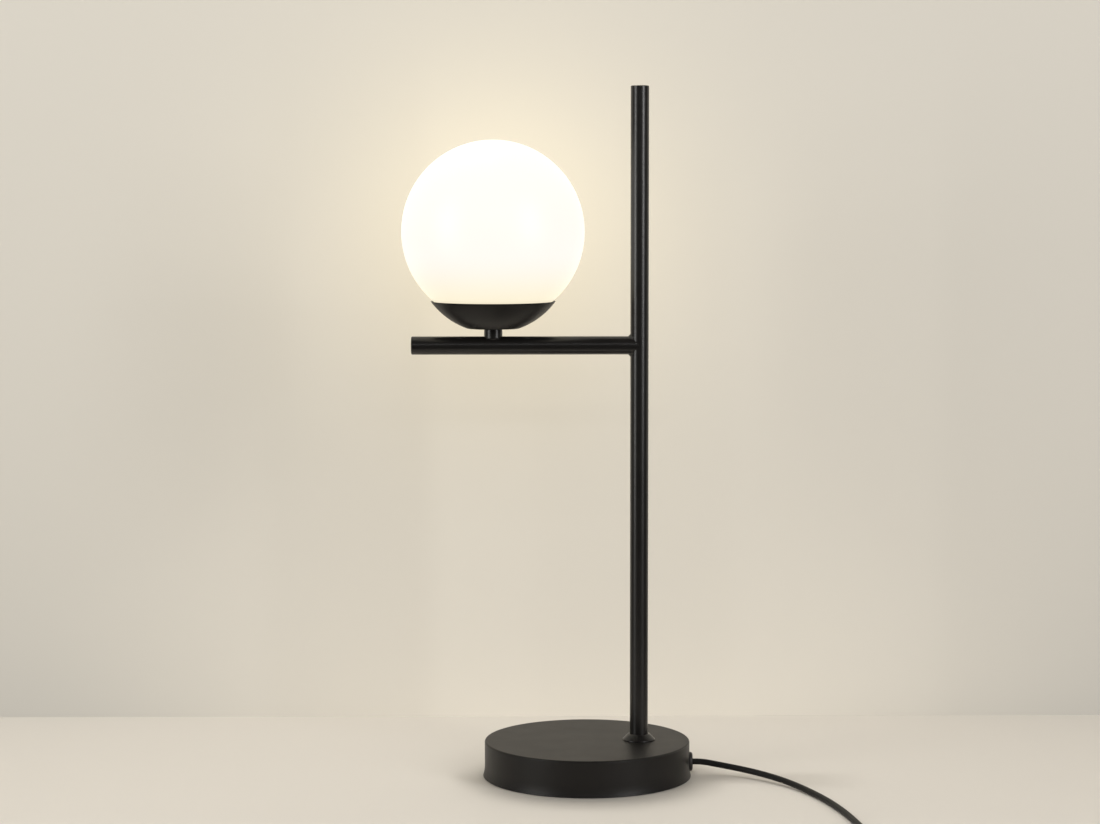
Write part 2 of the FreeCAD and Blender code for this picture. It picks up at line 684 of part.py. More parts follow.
def head_nipple():
    """Hollow threaded rod that clamps cup, spider and lampholder to the stem."""
    low = STEM_FOOT_Z + HEAD_NIPPLE_SUNK
    return ring(HEAD_X, 0, low, low + HEAD_NIPPLE_L, NIPPLE_R, NIPPLE_BORE_R)


def cup():
    """Spun bowl with a flat floor and a ring of vents."""
    hole = NIPPLE_R + EASY
    floor_r = math.sqrt(CUP_IN_R**2 - (BOWL_Z - CUP_FLOOR_Z) ** 2)
    out_mid, in_mid = (CUP_FLAT_R + CUP_RIM_R) / 2, (floor_r + CUP_RIM_IN_R) / 2
    bowl = turned(
        HEAD_X,
        (hole, CUP_Z),
        (CUP_FLAT_R, CUP_Z),
        ((out_mid, low_side(CUP_BOWL_R, BOWL_Z, out_mid)), (CUP_RIM_R, RIM_Z)),
        (CUP_RIM_IN_R, RIM_Z),
        ((in_mid, low_side(CUP_IN_R, BOWL_Z, in_mid)), (floor_r, CUP_FLOOR_Z)),
        (hole, CUP_FLOOR_Z),
    )
    for x, y, _ in on_circle(VENT_COUNT, VENT_CIRCLE_R):
        middle = V(HEAD_X + x, y, low_side(CUP_BOWL_R, BOWL_Z, VENT_CIRCLE_R))
        way = unit(V(HEAD_X, 0, BOWL_Z) - middle)
        bowl = bowl.cut(rod(middle - way * 2 * VENT_R, middle + way * 2 * VENT_R, VENT_R))
    return bowl


def globe_seal():
    """Rubber ring glued in the cup, shaped to bowl and globe."""
    band = ring(HEAD_X, 0, CUP_Z, RIM_Z, SEAL_OUT_R, SEAL_IN_R)
    bowl = Part.makeSphere(CUP_IN_R - SNUG, V(HEAD_X, 0, BOWL_Z))
    globe = Part.makeSphere(GLOBE_R + EASY, V(HEAD_X, 0, GLOBE_Z))
    return band.common(bowl).cut(globe)


def opal_globe():
    """Blown glass ball with a ground round mouth."""
    outer_z = low_side(GLOBE_R, GLOBE_Z, GLOBE_MOUTH_R)
    return turned(
        HEAD_X,
        (GLOBE_MOUTH_R, outer_z),
        ((GLOBE_R, GLOBE_Z), (0.0, GLOBE_Z + GLOBE_R)),
        (0.0, GLOBE_Z + GLOBE_IN_R),
        ((GLOBE_IN_R, GLOBE_Z), (GLOBE_MOUTH_R, MOUTH_Z)),
    )


def spider_arm():
    """One spring arm: level at the hub, up the bowl, then a bowed finger inside the globe's mouth."""
    hub_z = CUP_FLOOR_Z + SPIDER_T / 2
    touch = GLOBE_MOUTH_R - EASY - SPIDER_T / 2
    knee_z = max(
        low_side(CUP_IN_R, BOWL_Z, SPIDER_FOOT_R) + SPIDER_T + EASY,
        low_side(GLOBE_R, GLOBE_Z, GLOBE_MOUTH_R) - SPIDER_KNEE_DROP,
    )
    clear = HOLDER_R + EASY
    under = low_side(CUP_IN_R, BOWL_Z, math.hypot(clear, SPIDER_ARM_W / 2))
    line = [
        (SPIDER_HUB_R / 2, hub_z),
        (SPIDER_HUB_R, hub_z),
        (clear, max(CUP_FLOOR_Z, under) + SPIDER_T / 2 + SNUG),
        (SPIDER_FOOT_R, knee_z),
        (touch, MOUTH_Z + SPIDER_T),
        (touch - SPIDER_TIP_IN, MOUTH_Z + SPIDER_TIP_RISE),
    ]
    half = SPIDER_T / 2
    above = [(out, up + half) if i < 3 else (out - half, up + half / 2) for i, (out, up) in enumerate(line)]
    below = [(out, up - half) if i < 3 else (out + half, up - half / 2) for i, (out, up) in enumerate(line)]
    points = [V(out, -SPIDER_ARM_W / 2, up) for out, up in above + below[::-1]]
    return Part.Face(Part.makePolygon(points + points[:1])).extrude(V(0, SPIDER_ARM_W, 0))


def globe_spider():
    """Spring plate whose three fingers grip the mouth of the globe."""
    shapes = [post(0, 0, CUP_FLOOR_Z, CUP_FLOOR_Z + SPIDER_T, SPIDER_HUB_R)]
    for _, _, turn in on_circle(SPIDER_ARMS, 1.0, SPIDER_FIRST_DEG):
        arm = spider_arm()
        arm.rotate(ORIGIN, Z_AXIS, turn)
        shapes.append(arm)
    spider = merged(shapes).cut(post(0, 0, CUP_Z, HOLDER_Z, NIPPLE_R + EASY))
    spider.translate(V(HEAD_X, 0, 0))
    return spider


def lock_washer():
    """Washer between spider and lampholder."""
    low = CUP_FLOOR_Z + SPIDER_T
    return ring(HEAD_X, 0, low, low + LOCK_WASHER_T, WASHER_R, NIPPLE_R + EASY)


# ---- Lampholder ----
def lampholder_cap():
    """Lower part of the lampholder, screwed on the head nipple."""
    boss_top, floor_z = HOLDER_Z + HOLDER_BOSS_H, HOLDER_Z + HOLDER_FLOOR
    inner, bore = HOLDER_R - HOLDER_WALL, NIPPLE_R + SNUG
    return turned(
        HEAD_X,
        (bore, HOLDER_Z),
        (HOLDER_R - HOLDER_CHAMFER, HOLDER_Z),
        (HOLDER_R, HOLDER_Z + HOLDER_CHAMFER),
        (HOLDER_R, SLEEVE_Z),
        (inner, SLEEVE_Z),
        (inner, floor_z),
        (HOLDER_BOSS_R, floor_z),
        (HOLDER_BOSS_R, boss_top),
        (bore, boss_top),
    )


def lampholder_sleeve():
    """Upper barrel of the lampholder, with a lip that holds the insert down."""
    inner = SLEEVE_R - HOLDER_WALL
    lip_z = INSERT_Z + INSERT_H + EASY
    return turned(
        HEAD_X,
        (inner, SLEEVE_Z),
        (SLEEVE_R, SLEEVE_Z),
        (SLEEVE_R, SLEEVE_Z + SLEEVE_H),
        (inner, SLEEVE_Z + SLEEVE_H),
        (inner, lip_z + SLEEVE_LIP_T),
        (SLEEVE_LIP_R, lip_z + SLEEVE_LIP_T),
        (SLEEVE_LIP_R, lip_z),
        (inner, lip_z),
    )


def terminals():
    """Middles of the two terminal screws."""
    return [V(HEAD_X, side * TERMINAL_REACH, INSERT_Z) for side in (-1, 1)]


def lampholder_insert():
    """Insulating core that carries the contacts."""
    core = post(HEAD_X, 0, INSERT_Z, INSERT_Z + INSERT_H, SLEEVE_R - HOLDER_WALL - INSERT_GAP)
    core = core.cut(post(HEAD_X, 0, HOLDER_BED_Z, INSERT_Z + INSERT_H, SCREW_SHELL_R + SNUG))
    for at in terminals():
        core = core.cut(rod(at, at + Z_AXIS * (TERMINAL_SCREW_L + SCREW_END_GAP), TERMINAL_SCREW_R + SNUG))
    return core


def screw_shell():
    """Threaded side contact of the lampholder."""
    low, high = HOLDER_BED_Z + SCREW_SHELL_RISE, INSERT_Z + INSERT_H - SCREW_SHELL_SUNK
    return ring(HEAD_X, 0, low, high, SCREW_SHELL_R, SCREW_SHELL_R - SCREW_SHELL_WALL)


def centre_contact():
    """Spring contact under the bulb."""
    disc = post(HEAD_X, 0, HOLDER_BED_Z, HOLDER_BED_Z + CONTACT_T, CONTACT_R)
    bump = post(
        HEAD_X, 0, HOLDER_BED_Z + CONTACT_T, HOLDER_BED_Z + CONTACT_T + CONTACT_BUMP_T, CONTACT_BUMP_R
    )
    return merged([disc, bump])


def terminal_screws():
    """Screws that hold the lamp wires."""
    screws = []
    for at in terminals():
        head = rod(at - Z_AXIS * TERMINAL_HEAD_T, at, TERMINAL_HEAD_R)
        screws.append(merged([head, rod(at, at + Z_AXIS * TERMINAL_SCREW_L, TERMINAL_SCREW_R)]))
    return Part.makeCompound(screws)


# ---- Bulb ----
def bulb_tip():
    """Solder contact at the foot of the bulb."""
    return post(HEAD_X, 0, BULB_Z, BULB_Z + BULB_TIP_T, BULB_TIP_R)


def bulb_insulator():
    """Glass insulator between tip and screw cap."""
    low = BULB_Z + BULB_TIP_T
    return Part.makeCone(BULB_TIP_R, BULB_INSULATOR_R, BULB_INSULATOR_H, V(HEAD_X, 0, low))


def bulb_cap():
    """Screw cap with a flared skirt."""
    low = BULB_Z + BULB_TIP_T + BULB_INSULATOR_H
    inner = BULB_CAP_R - BULB_CAP_WALL
    return turned(
        HEAD_X,
        (BULB_INSULATOR_R - BULB_CAP_LIP, low),
        (BULB_CAP_R - BULB_CAP_CHAMFER, low),
        (BULB_CAP_R, low + BULB_CAP_CHAMFER),
        (BULB_CAP_R, BULB_SKIRT_Z),
        (BULB_SKIRT_R, BULB_NECK_Z),
        (BULB_SKIRT_R - BULB_CAP_WALL, BULB_NECK_Z),
        (inner, BULB_SKIRT_Z),
        (inner, low + BULB_CAP_WALL),
        (BULB_INSULATOR_R - BULB_CAP_LIP, low + BULB_CAP_WALL),
    )


def dome_radius_at(height):
    """Outer radius of the bulb's dome at a height."""
    return math.sqrt(BULB_R**2 - (height - BULB_MID_Z) ** 2)


def bulb_housing():
    """Plastic cone between cap and dome, with a spigot in the cap."""
    seam_r = dome_radius_at(BULB_SEAM_Z)
    spigot_r = BULB_CAP_R - BULB_CAP_WALL - SNUG
    board_z = BULB_SEAM_Z - BULB_BOARD_T
    wide = seam_r - BULB_WALL
    return turned(
        HEAD_X,
        (0.0, BULB_SKIRT_Z - BULB_SPIGOT_L),
        (spigot_r, BULB_SKIRT_Z - BULB_SPIGOT_L),
        (spigot_r, BULB_SKIRT_Z),
        (BULB_SKIRT_R - BULB_CAP_WALL - SNUG, BULB_NECK_Z),
        (BULB_NECK_R, BULB_NECK_Z + BULB_NECK_STEP),
        ((BULB_NECK_R + BULB_NECK_BOW, BULB_NECK_Z + BULB_NECK_H / 2), (seam_r, BULB_SEAM_Z)),
        (wide, BULB_SEAM_Z),
        (wide, board_z),
        (0.0, board_z),
    )


def bulb_board():
    """Disc that carries the light sources."""
    wide = dome_radius_at(BULB_SEAM_Z) - BULB_WALL - SNUG
    return post(HEAD_X, 0, BULB_SEAM_Z - BULB_BOARD_T, BULB_SEAM_Z, wide)


def bulb_dome():
    """Frosted diffuser."""
    inner = BULB_R - BULB_WALL
    drop = BULB_MID_Z - BULB_SEAM_Z
    inner_r = math.sqrt(inner**2 - drop**2)
    return turned(
        HEAD_X,
        (dome_radius_at(BULB_SEAM_Z), BULB_SEAM_Z),
        ((BULB_R, BULB_MID_Z), (0.0, BULB_TOP_Z)),
        (0.0, BULB_TOP_Z - BULB_WALL),
        ((inner, BULB_MID_Z), (inner_r, BULB_SEAM_Z)),
    )


# ---- Wiring ----
def lamp_wire(side):
    """One core from the terminal block through upright, arm and stem to its terminal."""
    y = side * WIRE_SPREAD
    way_x = BLOCK_X - side * BLOCK_WAY_PITCH / 2
    way_z = WEIGHT_Z - BLOCK_WAY_DROP
    end_z = INSERT_Z - TERMINAL_HEAD_T / 2
    points = [
        V(way_x, BLOCK_L / 2 - BLOCK_WAY_INSET, way_z),
        V(way_x, BLOCK_L / 2 + WIRE_LOOP_OUT + side * WIRE_LOOP_APART, way_z),
        V(UPRIGHT_X - WIRE_LOOP_BACK, WIRE_LOOP_OUT + side * WIRE_LOOP_APART, WIRE_LOW_Z + WIRE_R),
        V(UPRIGHT_X, y, WIRE_LOW_Z),
        V(UPRIGHT_X, y, ARM_Z),
        V(HEAD_X, y, ARM_Z),
        V(HEAD_X, y, end_z),
        V(HEAD_X, side * (TERMINAL_REACH - TERMINAL_HEAD_R - SNUG), end_z),
    ]
    radii = [WIRE_BLOCK_BEND_R, WIRE_LOOP_BEND_R, WIRE_FOOT_BEND_R]
    radii += [WIRE_BEND_R, WIRE_HEAD_BEND_R, WIRE_END_BEND_R]
    edges, bends = route(points, radii)
    solid = swept(edges, WIRE_R)
    report_tube("lamp wire", edges, bends, WIRE_R, solid)
    return solid


def inner_cord():
    """Sheathed cord inside the base, from the grommet's face to the end of its sheath."""
    points = [V(BASE_R + GROMMET_PROUD, 0, CORD_EXIT_Z)] + [V(*p) for p in INNER_ROUTE] + [V(*SHEATH_END)]
    edges, bends = route(points)
    solid = swept(edges, CORD_R)
    report_tube("cord in the base", edges, bends, CORD_R, solid)
    return solid


def mains_core(side):
    """One core from the end of the sheath into the terminal block."""
    way_x = BLOCK_X - side * BLOCK_WAY_PITCH / 2
    way_z = WEIGHT_Z - BLOCK_WAY_DROP
    x, y, z = SHEATH_END
    y -= side * (WIRE_R + SNUG)
    edges, bends = route(
        [
            V(x, y, z),
            V(way_x, y, z),
            V(way_x, -BLOCK_L / 2 - CORE_DROP_OUT, way_z),
            V(way_x, -BLOCK_L / 2 + BLOCK_WAY_INSET, way_z),
        ],
        [CORE_BEND_R, CORE_BEND_R],
    )
    solid = swept(edges, WIRE_R)
    report_tube("mains core", edges, bends, WIRE_R, solid)
    return solid


def block_way_xs():
    """The two ways of the terminal block."""
    return [BLOCK_X - BLOCK_WAY_PITCH / 2, BLOCK_X + BLOCK_WAY_PITCH / 2]


def terminal_block():
    """Insulating block with two ways, clamp screws and a fixing hole."""
    body = block(BLOCK_X, 0, WEIGHT_Z - BLOCK_H, WEIGHT_Z, BLOCK_W, BLOCK_L)
    way_z = WEIGHT_Z - BLOCK_WAY_DROP
    for x in block_way_xs():
        body = body.cut(rod(V(x, -BLOCK_L, way_z), V(x, BLOCK_L, way_z), BLOCK_WAY_R + SNUG))
        for side in (-1, 1):
            hole = post(x, side * BLOCK_SCREW_Y, WEIGHT_Z - BLOCK_H, way_z, BLOCK_SCREW_R + SNUG)
            body = body.cut(hole)
    body = body.cut(post(BLOCK_X, 0, WEIGHT_Z - BLOCK_H, WEIGHT_Z, INNER_SCREW_R + SNUG))
    head_top = WEIGHT_Z - BLOCK_H + INNER_SCREW_HEAD_T
    return body.cut(post(BLOCK_X, 0, WEIGHT_Z - BLOCK_H, head_top, INNER_SCREW_HEAD_R + SNUG))


def block_ways():
    """Brass tubes in the terminal block, each bored from both ends and tapped for its screws."""
    way_z, half = WEIGHT_Z - BLOCK_WAY_DROP, BLOCK_L / 2 - BLOCK_WAY_SUNK
    ways = []
    for x in block_way_xs():
        way = rod(V(x, -half, way_z), V(x, half, way_z), BLOCK_WAY_R)
        way = way.cut(rod(V(x, -half, way_z), V(x, half, way_z), BLOCK_WAY_BORE_R))
        for side in (-1, 1):
            way = way.cut(post(x, side * BLOCK_SCREW_Y, WEIGHT_Z - BLOCK_H, way_z, BLOCK_SCREW_R + SNUG))
        ways.append(way)
    return Part.makeCompound(ways)


def block_screws():
    """Clamp screws of the terminal block."""
    low = WEIGHT_Z - BLOCK_H
    tip = WEIGHT_Z - BLOCK_WAY_DROP - WIRE_R - SNUG
    screws = []
    for x in block_way_xs():
        for side in (-1, 1):
            screw = post(x, side * BLOCK_SCREW_Y, low, tip, BLOCK_SCREW_R)
            slot = block(x, side * BLOCK_SCREW_Y, low, low + BLOCK_SLOT_D, 2 * BLOCK_SCREW_R, BLOCK_SLOT_W)
            screws.append(screw.cut(slot))
    return Part.makeCompound(screws)


def clamp_top():
    """Height of the clamp bar's upper face, just under the cord."""
    return SHEATH_END[2] - CORD_R - SNUG


def cord_clamp():
    """Bar that holds the cord up against the weight."""
    bar = block(CLAMP_X, CLAMP_Y, clamp_top() - CLAMP_T, clamp_top(), CLAMP_W, CLAMP_L)
    for side in (-1, 1):
        y = CLAMP_Y + side * CLAMP_SCREW_OFF
        bar = bar.cut(post(CLAMP_X, y, clamp_top() - CLAMP_T, clamp_top(), INNER_SCREW_R + SNUG))
    return bar


def inner_screw_places():
    """Where the identical screws in the weight stand, and the height of the seat of each one's head."""
    places = [(CLAMP_X, CLAMP_Y + side * CLAMP_SCREW_OFF, clamp_top() - CLAMP_T) for side in (-1, 1)]
    return places + [(BLOCK_X, 0.0, WEIGHT_Z - BLOCK_H + INNER_SCREW_HEAD_T)]


def inner_screws():
    """Screws of the cord clamp and the terminal block."""
    screws = []
    for x, y, seat in inner_screw_places():
        head = post(x, y, seat - INNER_SCREW_HEAD_T, seat, INNER_SCREW_HEAD_R)
        screws.append(merged([head, post(x, y, seat, seat + INNER_SCREW_L, INNER_SCREW_R)]))
    return Part.makeCompound(screws)


# ---- Free cord ----
def cord_lead():
    """The stretch from the grommet to the switch."""
    points = [V(BASE_R + GROMMET_PROUD, 0, CORD_EXIT_Z)] + [V(*p) for p in LEAD_ROUTE]
    return free_cord("lead", points + [V(SWITCH_X, switch_y(SWITCH_CORD_IN), SWITCH_CORD_Z)])


def cord_bridge():
    """The stretch from the switch to the coil."""
    start = V(SWITCH_X, switch_y(switch_length() - SWITCH_CORD_IN), SWITCH_CORD_Z)
    points = [start] + [V(*p) for p in BRIDGE_ROUTE]
    return free_cord("bridge", points + [V(*COIL_START, coil_z(0.0))])


def coil_pitch():
    """From the middle of one turn to the next."""
    return CORD_D + COIL_TURN_GAP


def coil_radius(turns):
    """Radius of the coil after a number of turns."""
    return COIL_IN_R + abs(turns - COIL_TURNS_IN) * coil_pitch()


def coil_z(turns):
    """Height of the cord's middle after a number of turns."""
    share = (turns - COIL_TURNS_IN) / COIL_CLIMB_TURNS + 0.5
    climb = (1 - math.cos(math.pi * min(max(share, 0.0), 1.0))) / 2
    return CORD_R + COIL_LIFT + coil_pitch() * climb


def coil_lean(turns):
    """Angle between the spiral and a circle there."""
    return math.atan(coil_pitch() / (2 * math.pi * coil_radius(turns)))


def coil_turns():
    """Number of turns in the coil."""
    return COIL_TURNS_IN + COIL_TURNS_OUT


def coil_angle(turns):
    """Angle about the coil's middle. Its two ends point along +Y and -X."""
    first, last = -coil_lean(0.0), math.radians(90.0) + coil_lean(coil_turns())
    whole = 2 * math.pi * math.floor(coil_turns())
    return first + turns / coil_turns() * (whole + last - first)


def coil_middle():
    """Middle of the coil, from its start and the straight diameter of cord before its first turn."""
    angle = coil_angle(0.0)
    x, y = COIL_START
    return V(x - coil_radius(0.0) * math.cos(angle), y + CORD_D - coil_radius(0.0) * math.sin(angle), 0)


def coil_point(turns):
    """A point of the coil's middle line."""
    angle, radius = coil_angle(turns), coil_radius(turns)
    return coil_middle() + V(radius * math.cos(angle), radius * math.sin(angle), coil_z(turns))


def coil_way(turns):
    """Direction of the cord there, taken over a short stretch to both sides."""
    step = 1e-4
    return unit(coil_point(turns + step) - coil_point(turns - step))


def coil_end():
    """Where the coil's end lets the cord go."""
    return coil_point(coil_turns()) - X_AXIS * CORD_D


def cord_coil():
    """Two layers of turns, spiralling in and then out above."""
    count = round(coil_turns() / COIL_STEP)
    stations = [i * COIL_STEP for i in range(count + 1)]
    points = [coil_point(t) for t in stations]
    ways = [Y_AXIS] + [coil_way(t) for t in stations[1:-1]] + [-X_AXIS]
    edges = [Part.makeLine(V(*COIL_START, coil_z(0.0)), points[0])]
    for i in range(count):
        edges += biarc(points[i], ways[i], points[i + 1], ways[i + 1])
    edges.append(Part.makeLine(points[-1], coil_end()))
    solid = swept(edges, CORD_R)
    report_tube("coil", edges, [e.Curve.Radius for e in edges[1:-1]], CORD_R, solid)
    report_coil_gap(edges)
    return solid


def report_coil_gap(edges):
    """Print the least gap between the coil's turns, measured on points of its middle line."""
    line, along, run = [], [], 0.0
    for edge in edges:
        for step in range(COIL_GAP_STEPS):
            share = step / COIL_GAP_STEPS
            at = edge.FirstParameter + share * (edge.LastParameter - edge.FirstParameter)
            line.append(edge.valueAt(at))
            along.append(run + share * edge.Length)
        run += edge.Length
    apart = math.pi * COIL_IN_R
    least = min(
        (line[i] - line[j]).Length for i in range(len(line)) for j in range(i) if along[i] - along[j] > apart
    )
    print(f"coil: least gap {least - CORD_D:.2f}, wanted over {COIL_GAP_LIMIT}")


def coil_tie():
    """Flat strap round the turns, opposite the start of the coil."""
    middle = coil_middle()
    low, high = COIL_IN_R - CORD_R - EASY, coil_radius(coil_turns()) + CORD_R + EASY
    top = coil_z(coil_turns()) + CORD_R + EASY
    outer = Part.makeBox(
        high - low + 2 * TIE_T, TIE_W, top + TIE_T, V(middle.x - high - TIE_T, middle.y - TIE_W / 2, 0)
    )
    inner = Part.makeBox(
        high - low, TIE_W, top - TIE_T, V(middle.x - high, middle.y - TIE_W / 2, TIE_T)
    )
    return outer.cut(inner)


def tail_points():
    """Route from the coil to the plug."""
    start = coil_end()
    return [start] + [start + V(*step) for step in TAIL_STEPS]


def cord_tail():
    """The stretch from the coil to the plug."""
    return free_cord("tail", tail_points())


# ---- In-line switch ----
def switch_length():
    """Whole length of the switch."""
    return SWITCH_BODY_L + 2 * SWITCH_NOSE_L


def switch_y(along):
    """A place along the switch, from the end where the cord goes in."""
    return SWITCH_Y - along


def switch_form(inset):
    """The switch as one body, set in by a wall."""
    way = V(0, -1, 0)
    body_z = SWITCH_H / 2
    stops = [
        (inset, SWITCH_NOSE_W, SWITCH_NOSE_H, SWITCH_CORD_Z, SWITCH_NOSE_EDGE_R),
        (SWITCH_NOSE_L, SWITCH_W, SWITCH_H, body_z, SWITCH_EDGE_R),
        (SWITCH_NOSE_L + SWITCH_BODY_L, SWITCH_W, SWITCH_H, body_z, SWITCH_EDGE_R),
        (switch_length() - inset, SWITCH_NOSE_W, SWITCH_NOSE_H, SWITCH_CORD_Z, SWITCH_NOSE_EDGE_R),
    ]
    wires = [
        round_box(
            w - 2 * inset,
            h - 2 * inset,
            max(r - inset, SWITCH_INNER_EDGE_R),
            V(SWITCH_X, switch_y(s), z),
            way,
        )
        for s, w, h, z, r in stops
    ]
    return Part.makeLoft(wires, True, True)


def switch_middle():
    """Place of the rocker's pivot."""
    return V(SWITCH_X, switch_y(switch_length() / 2), ROCKER_PIVOT_Z)


def switch_screw_places():
    """Where the two housing screws stand."""
    middle = switch_middle()
    return [(middle.x + s * SWITCH_SCREW_ACROSS, middle.y + s * SWITCH_SCREW_ALONG) for s in (-1, 1)]


def switch_shell():
    """Both halves of the housing as one shell, with screw posts and the holes for cord and screws."""
    end_y = switch_y(switch_length())
    shell = switch_form(0.0).cut(switch_form(SWITCH_WALL))
    low, high = SWITCH_WALL / 2, SWITCH_H - SWITCH_WALL / 2
    shell = merged([shell] + [post(x, y, low, high, SWITCH_POST_R) for x, y in switch_screw_places()])
    bore = rod(V(SWITCH_X, SWITCH_Y, SWITCH_CORD_Z), V(SWITCH_X, end_y, SWITCH_CORD_Z), CORD_R + SNUG)
    shell = shell.cut(bore)
    for x, y in switch_screw_places():
        shell = shell.cut(post(x, y, 0, SWITCH_SCREW_HEAD_T + SWITCH_SCREW_L + EASY, SWITCH_SCREW_R + SNUG))
        shell = shell.cut(post(x, y, 0, SWITCH_SCREW_HEAD_T, SWITCH_SCREW_HEAD_R + SNUG))
    return shell


def switch_lower():
    """Lower half of the switch housing."""
    half = block(SWITCH_X, switch_middle().y, 0, SWITCH_CORD_Z, 2 * SWITCH_W, 2 * switch_length())
    return switch_shell().common(half)


def across_switch(radius, reach):
    """A bar through the rocker's pivot, across the switch."""
    middle = switch_middle()
    return rod(middle - X_AXIS * reach, middle + X_AXIS * reach, radius)


def switch_upper():
    """Upper half of the switch housing, with the rocker's window and the ears of its pin."""
    middle = switch_middle()
    half = block(SWITCH_X, middle.y, SWITCH_CORD_Z, 2 * SWITCH_H, 2 * SWITCH_W, 2 * switch_length())
    upper = switch_shell().common(half)
    slot_half = ROCKER_W / 2 + EASY
    ears = []
    for side in (-1, 1):
        start = middle + X_AXIS * (side * slot_half)
        ear = rod(start, start + X_AXIS * (side * ROCKER_EAR_T), ROCKER_EAR_R)
        web = block(
            start.x + side * ROCKER_EAR_T / 2,
            middle.y,
            ROCKER_PIVOT_Z,
            SWITCH_H - SWITCH_WALL / 2,
            ROCKER_EAR_T,
            2 * ROCKER_EAR_R,
        )
        ears += [ear, web]
    upper = merged([upper] + ears).cut(across_switch(ROCKER_R + EASY, slot_half))
    return upper.cut(across_switch(ROCKER_PIN_R + SNUG, ROCKER_PIN_L / 2 + EASY))


def switch_rocker():
    """Rocker that tips about its pin, drawn switched on."""
    middle = switch_middle()
    half = ROCKER_W / 2
    body = across_switch(ROCKER_R, half)
    end_y = math.sqrt(ROCKER_R**2 - ROCKER_END_H**2)
    keep = [
        V(0, -2 * end_y, -ROCKER_HEEL),
        V(0, 2 * end_y, -ROCKER_HEEL),
        V(0, 2 * end_y, 2 * ROCKER_END_H - ROCKER_DISH_H),
        V(0, 0, ROCKER_DISH_H),
        V(0, -2 * end_y, 2 * ROCKER_END_H - ROCKER_DISH_H),
    ]
    points = [middle + p - X_AXIS * (half + OVERCUT) for p in keep]
    form = Part.Face(Part.makePolygon(points + points[:1])).extrude(V(2 * (half + OVERCUT), 0, 0))
    body = body.common(form)
    body = body.cut(across_switch(ROCKER_PIN_R + SNUG, half))
    body.rotate(middle, X_AXIS, -ROCKER_TILT)
    return body


def rocker_pin():
    """Pin that the rocker turns on."""
    return across_switch(ROCKER_PIN_R, ROCKER_PIN_L / 2)


def switch_contacts():
    """Fixed contact blades on the floor of the switch."""
    middle = switch_middle()
    blades = []
    for side in (-1, 1):
        y = middle.y + side * CONTACT_ALONG
        blades.append(
            block(middle.x, y, SWITCH_WALL, SWITCH_WALL + CONTACT_BLADE_T, CONTACT_BLADE_W, CONTACT_BLADE_L)
        )
    return Part.makeCompound(blades)


def switch_screws():
    """Screws that close the switch housing from below."""
    screws = []
    for x, y in switch_screw_places():
        head = post(x, y, SWITCH_SCREW_SUNK, SWITCH_SCREW_HEAD_T, SWITCH_SCREW_HEAD_R)
        shank = post(x, y, SWITCH_SCREW_HEAD_T, SWITCH_SCREW_HEAD_T + SWITCH_SCREW_L, SWITCH_SCREW_R)
        screws.append(merged([head, shank]))
    return Part.makeCompound(screws)


# ---- Mains plug ----
def plug_place(along):
    """A place along the plug, from the mouth of its strain relief to its pins."""
    return tail_points()[-1] + X_AXIS * (PLUG_CORD_IN - along)


def plug_relief():
    """Tapered sleeve that protects the cord where it enters the plug."""
    start = plug_place(0.0)
    tip_r, root_r = CORD_R + RELIEF_TIP_WALL, CORD_R + RELIEF_WALL
    sleeve = Part.makeCone(tip_r, root_r, RELIEF_L, start, -X_AXIS)
    for i in range(RELIEF_RINGS):
        along = RELIEF_FIRST_RING + i * RELIEF_RING_PITCH
        local = tip_r + (root_r - tip_r) * along / RELIEF_L
        here, there = plug_place(along), plug_place(along + RELIEF_RING_W)
        sleeve = sleeve.cut(rod(here, there, 2 * root_r).cut(rod(here, there, local - RELIEF_RING_DEPTH)))
    return sleeve.cut(rod(start, plug_place(PLUG_CORD_IN), CORD_R + SNUG))


def plug_body():
    """Flat moulded plug, tapering to its strain relief."""
    stops = [
        (RELIEF_L, PLUG_NECK_W, PLUG_NECK_H, PLUG_NECK_EDGE_R),
        (RELIEF_L + PLUG_TAPER_L, PLUG_W, PLUG_H, PLUG_EDGE_R),
        (RELIEF_L + PLUG_TAPER_L + PLUG_FACE_L, PLUG_W, PLUG_H, PLUG_EDGE_R),
    ]
    body = Part.makeLoft([round_box(w, h, r, plug_place(s), -X_AXIS) for s, w, h, r in stops], True, True)
    for start, end, radius in pin_stretches(0.0, -PLUG_PIN_ROOT_L, PLUG_PIN_CORE_R + SNUG):
        body = body.cut(rod(start, end, radius))
    return body


def pin_stretches(near, far, radius):
    """A stretch of each pin, measured from the plug's face."""
    face = plug_place(RELIEF_L + PLUG_TAPER_L + PLUG_FACE_L)
    for side in (-1, 1):
        middle = face + Y_AXIS * (side * PLUG_PIN_PITCH / 2)
        yield middle - X_AXIS * near, middle - X_AXIS * far, radius


def plug_pins():
    """Round pins, waisted where their sleeves lie."""
    sleeve_l = PLUG_PIN_L - PLUG_PIN_BARE_L
    waists = pin_stretches(-PLUG_PIN_ROOT_L, sleeve_l, PLUG_PIN_CORE_R)
    tips = pin_stretches(sleeve_l, PLUG_PIN_L, PLUG_PIN_R)
    pins = []
    for waist, tip in zip(waists, tips):
        end = rod(*tip)
        far = end.BoundBox.XMin
        end = end.makeFillet(PLUG_PIN_TIP_R, [e for e in end.Edges if e.BoundBox.XMax < far + NEAR])
        pins.append(merged([rod(*waist), end]))
    return Part.makeCompound(pins)


def pin_sleeves():
    """Insulating sleeves on the roots of the pins."""
    sleeve_l = PLUG_PIN_L - PLUG_PIN_BARE_L
    sleeves = []
    for start, end, radius in pin_stretches(0.0, sleeve_l, PLUG_PIN_R):
        sleeves.append(rod(start, end, radius).cut(rod(start, end, PLUG_PIN_CORE_R)))
    return Part.makeCompound(sleeves)


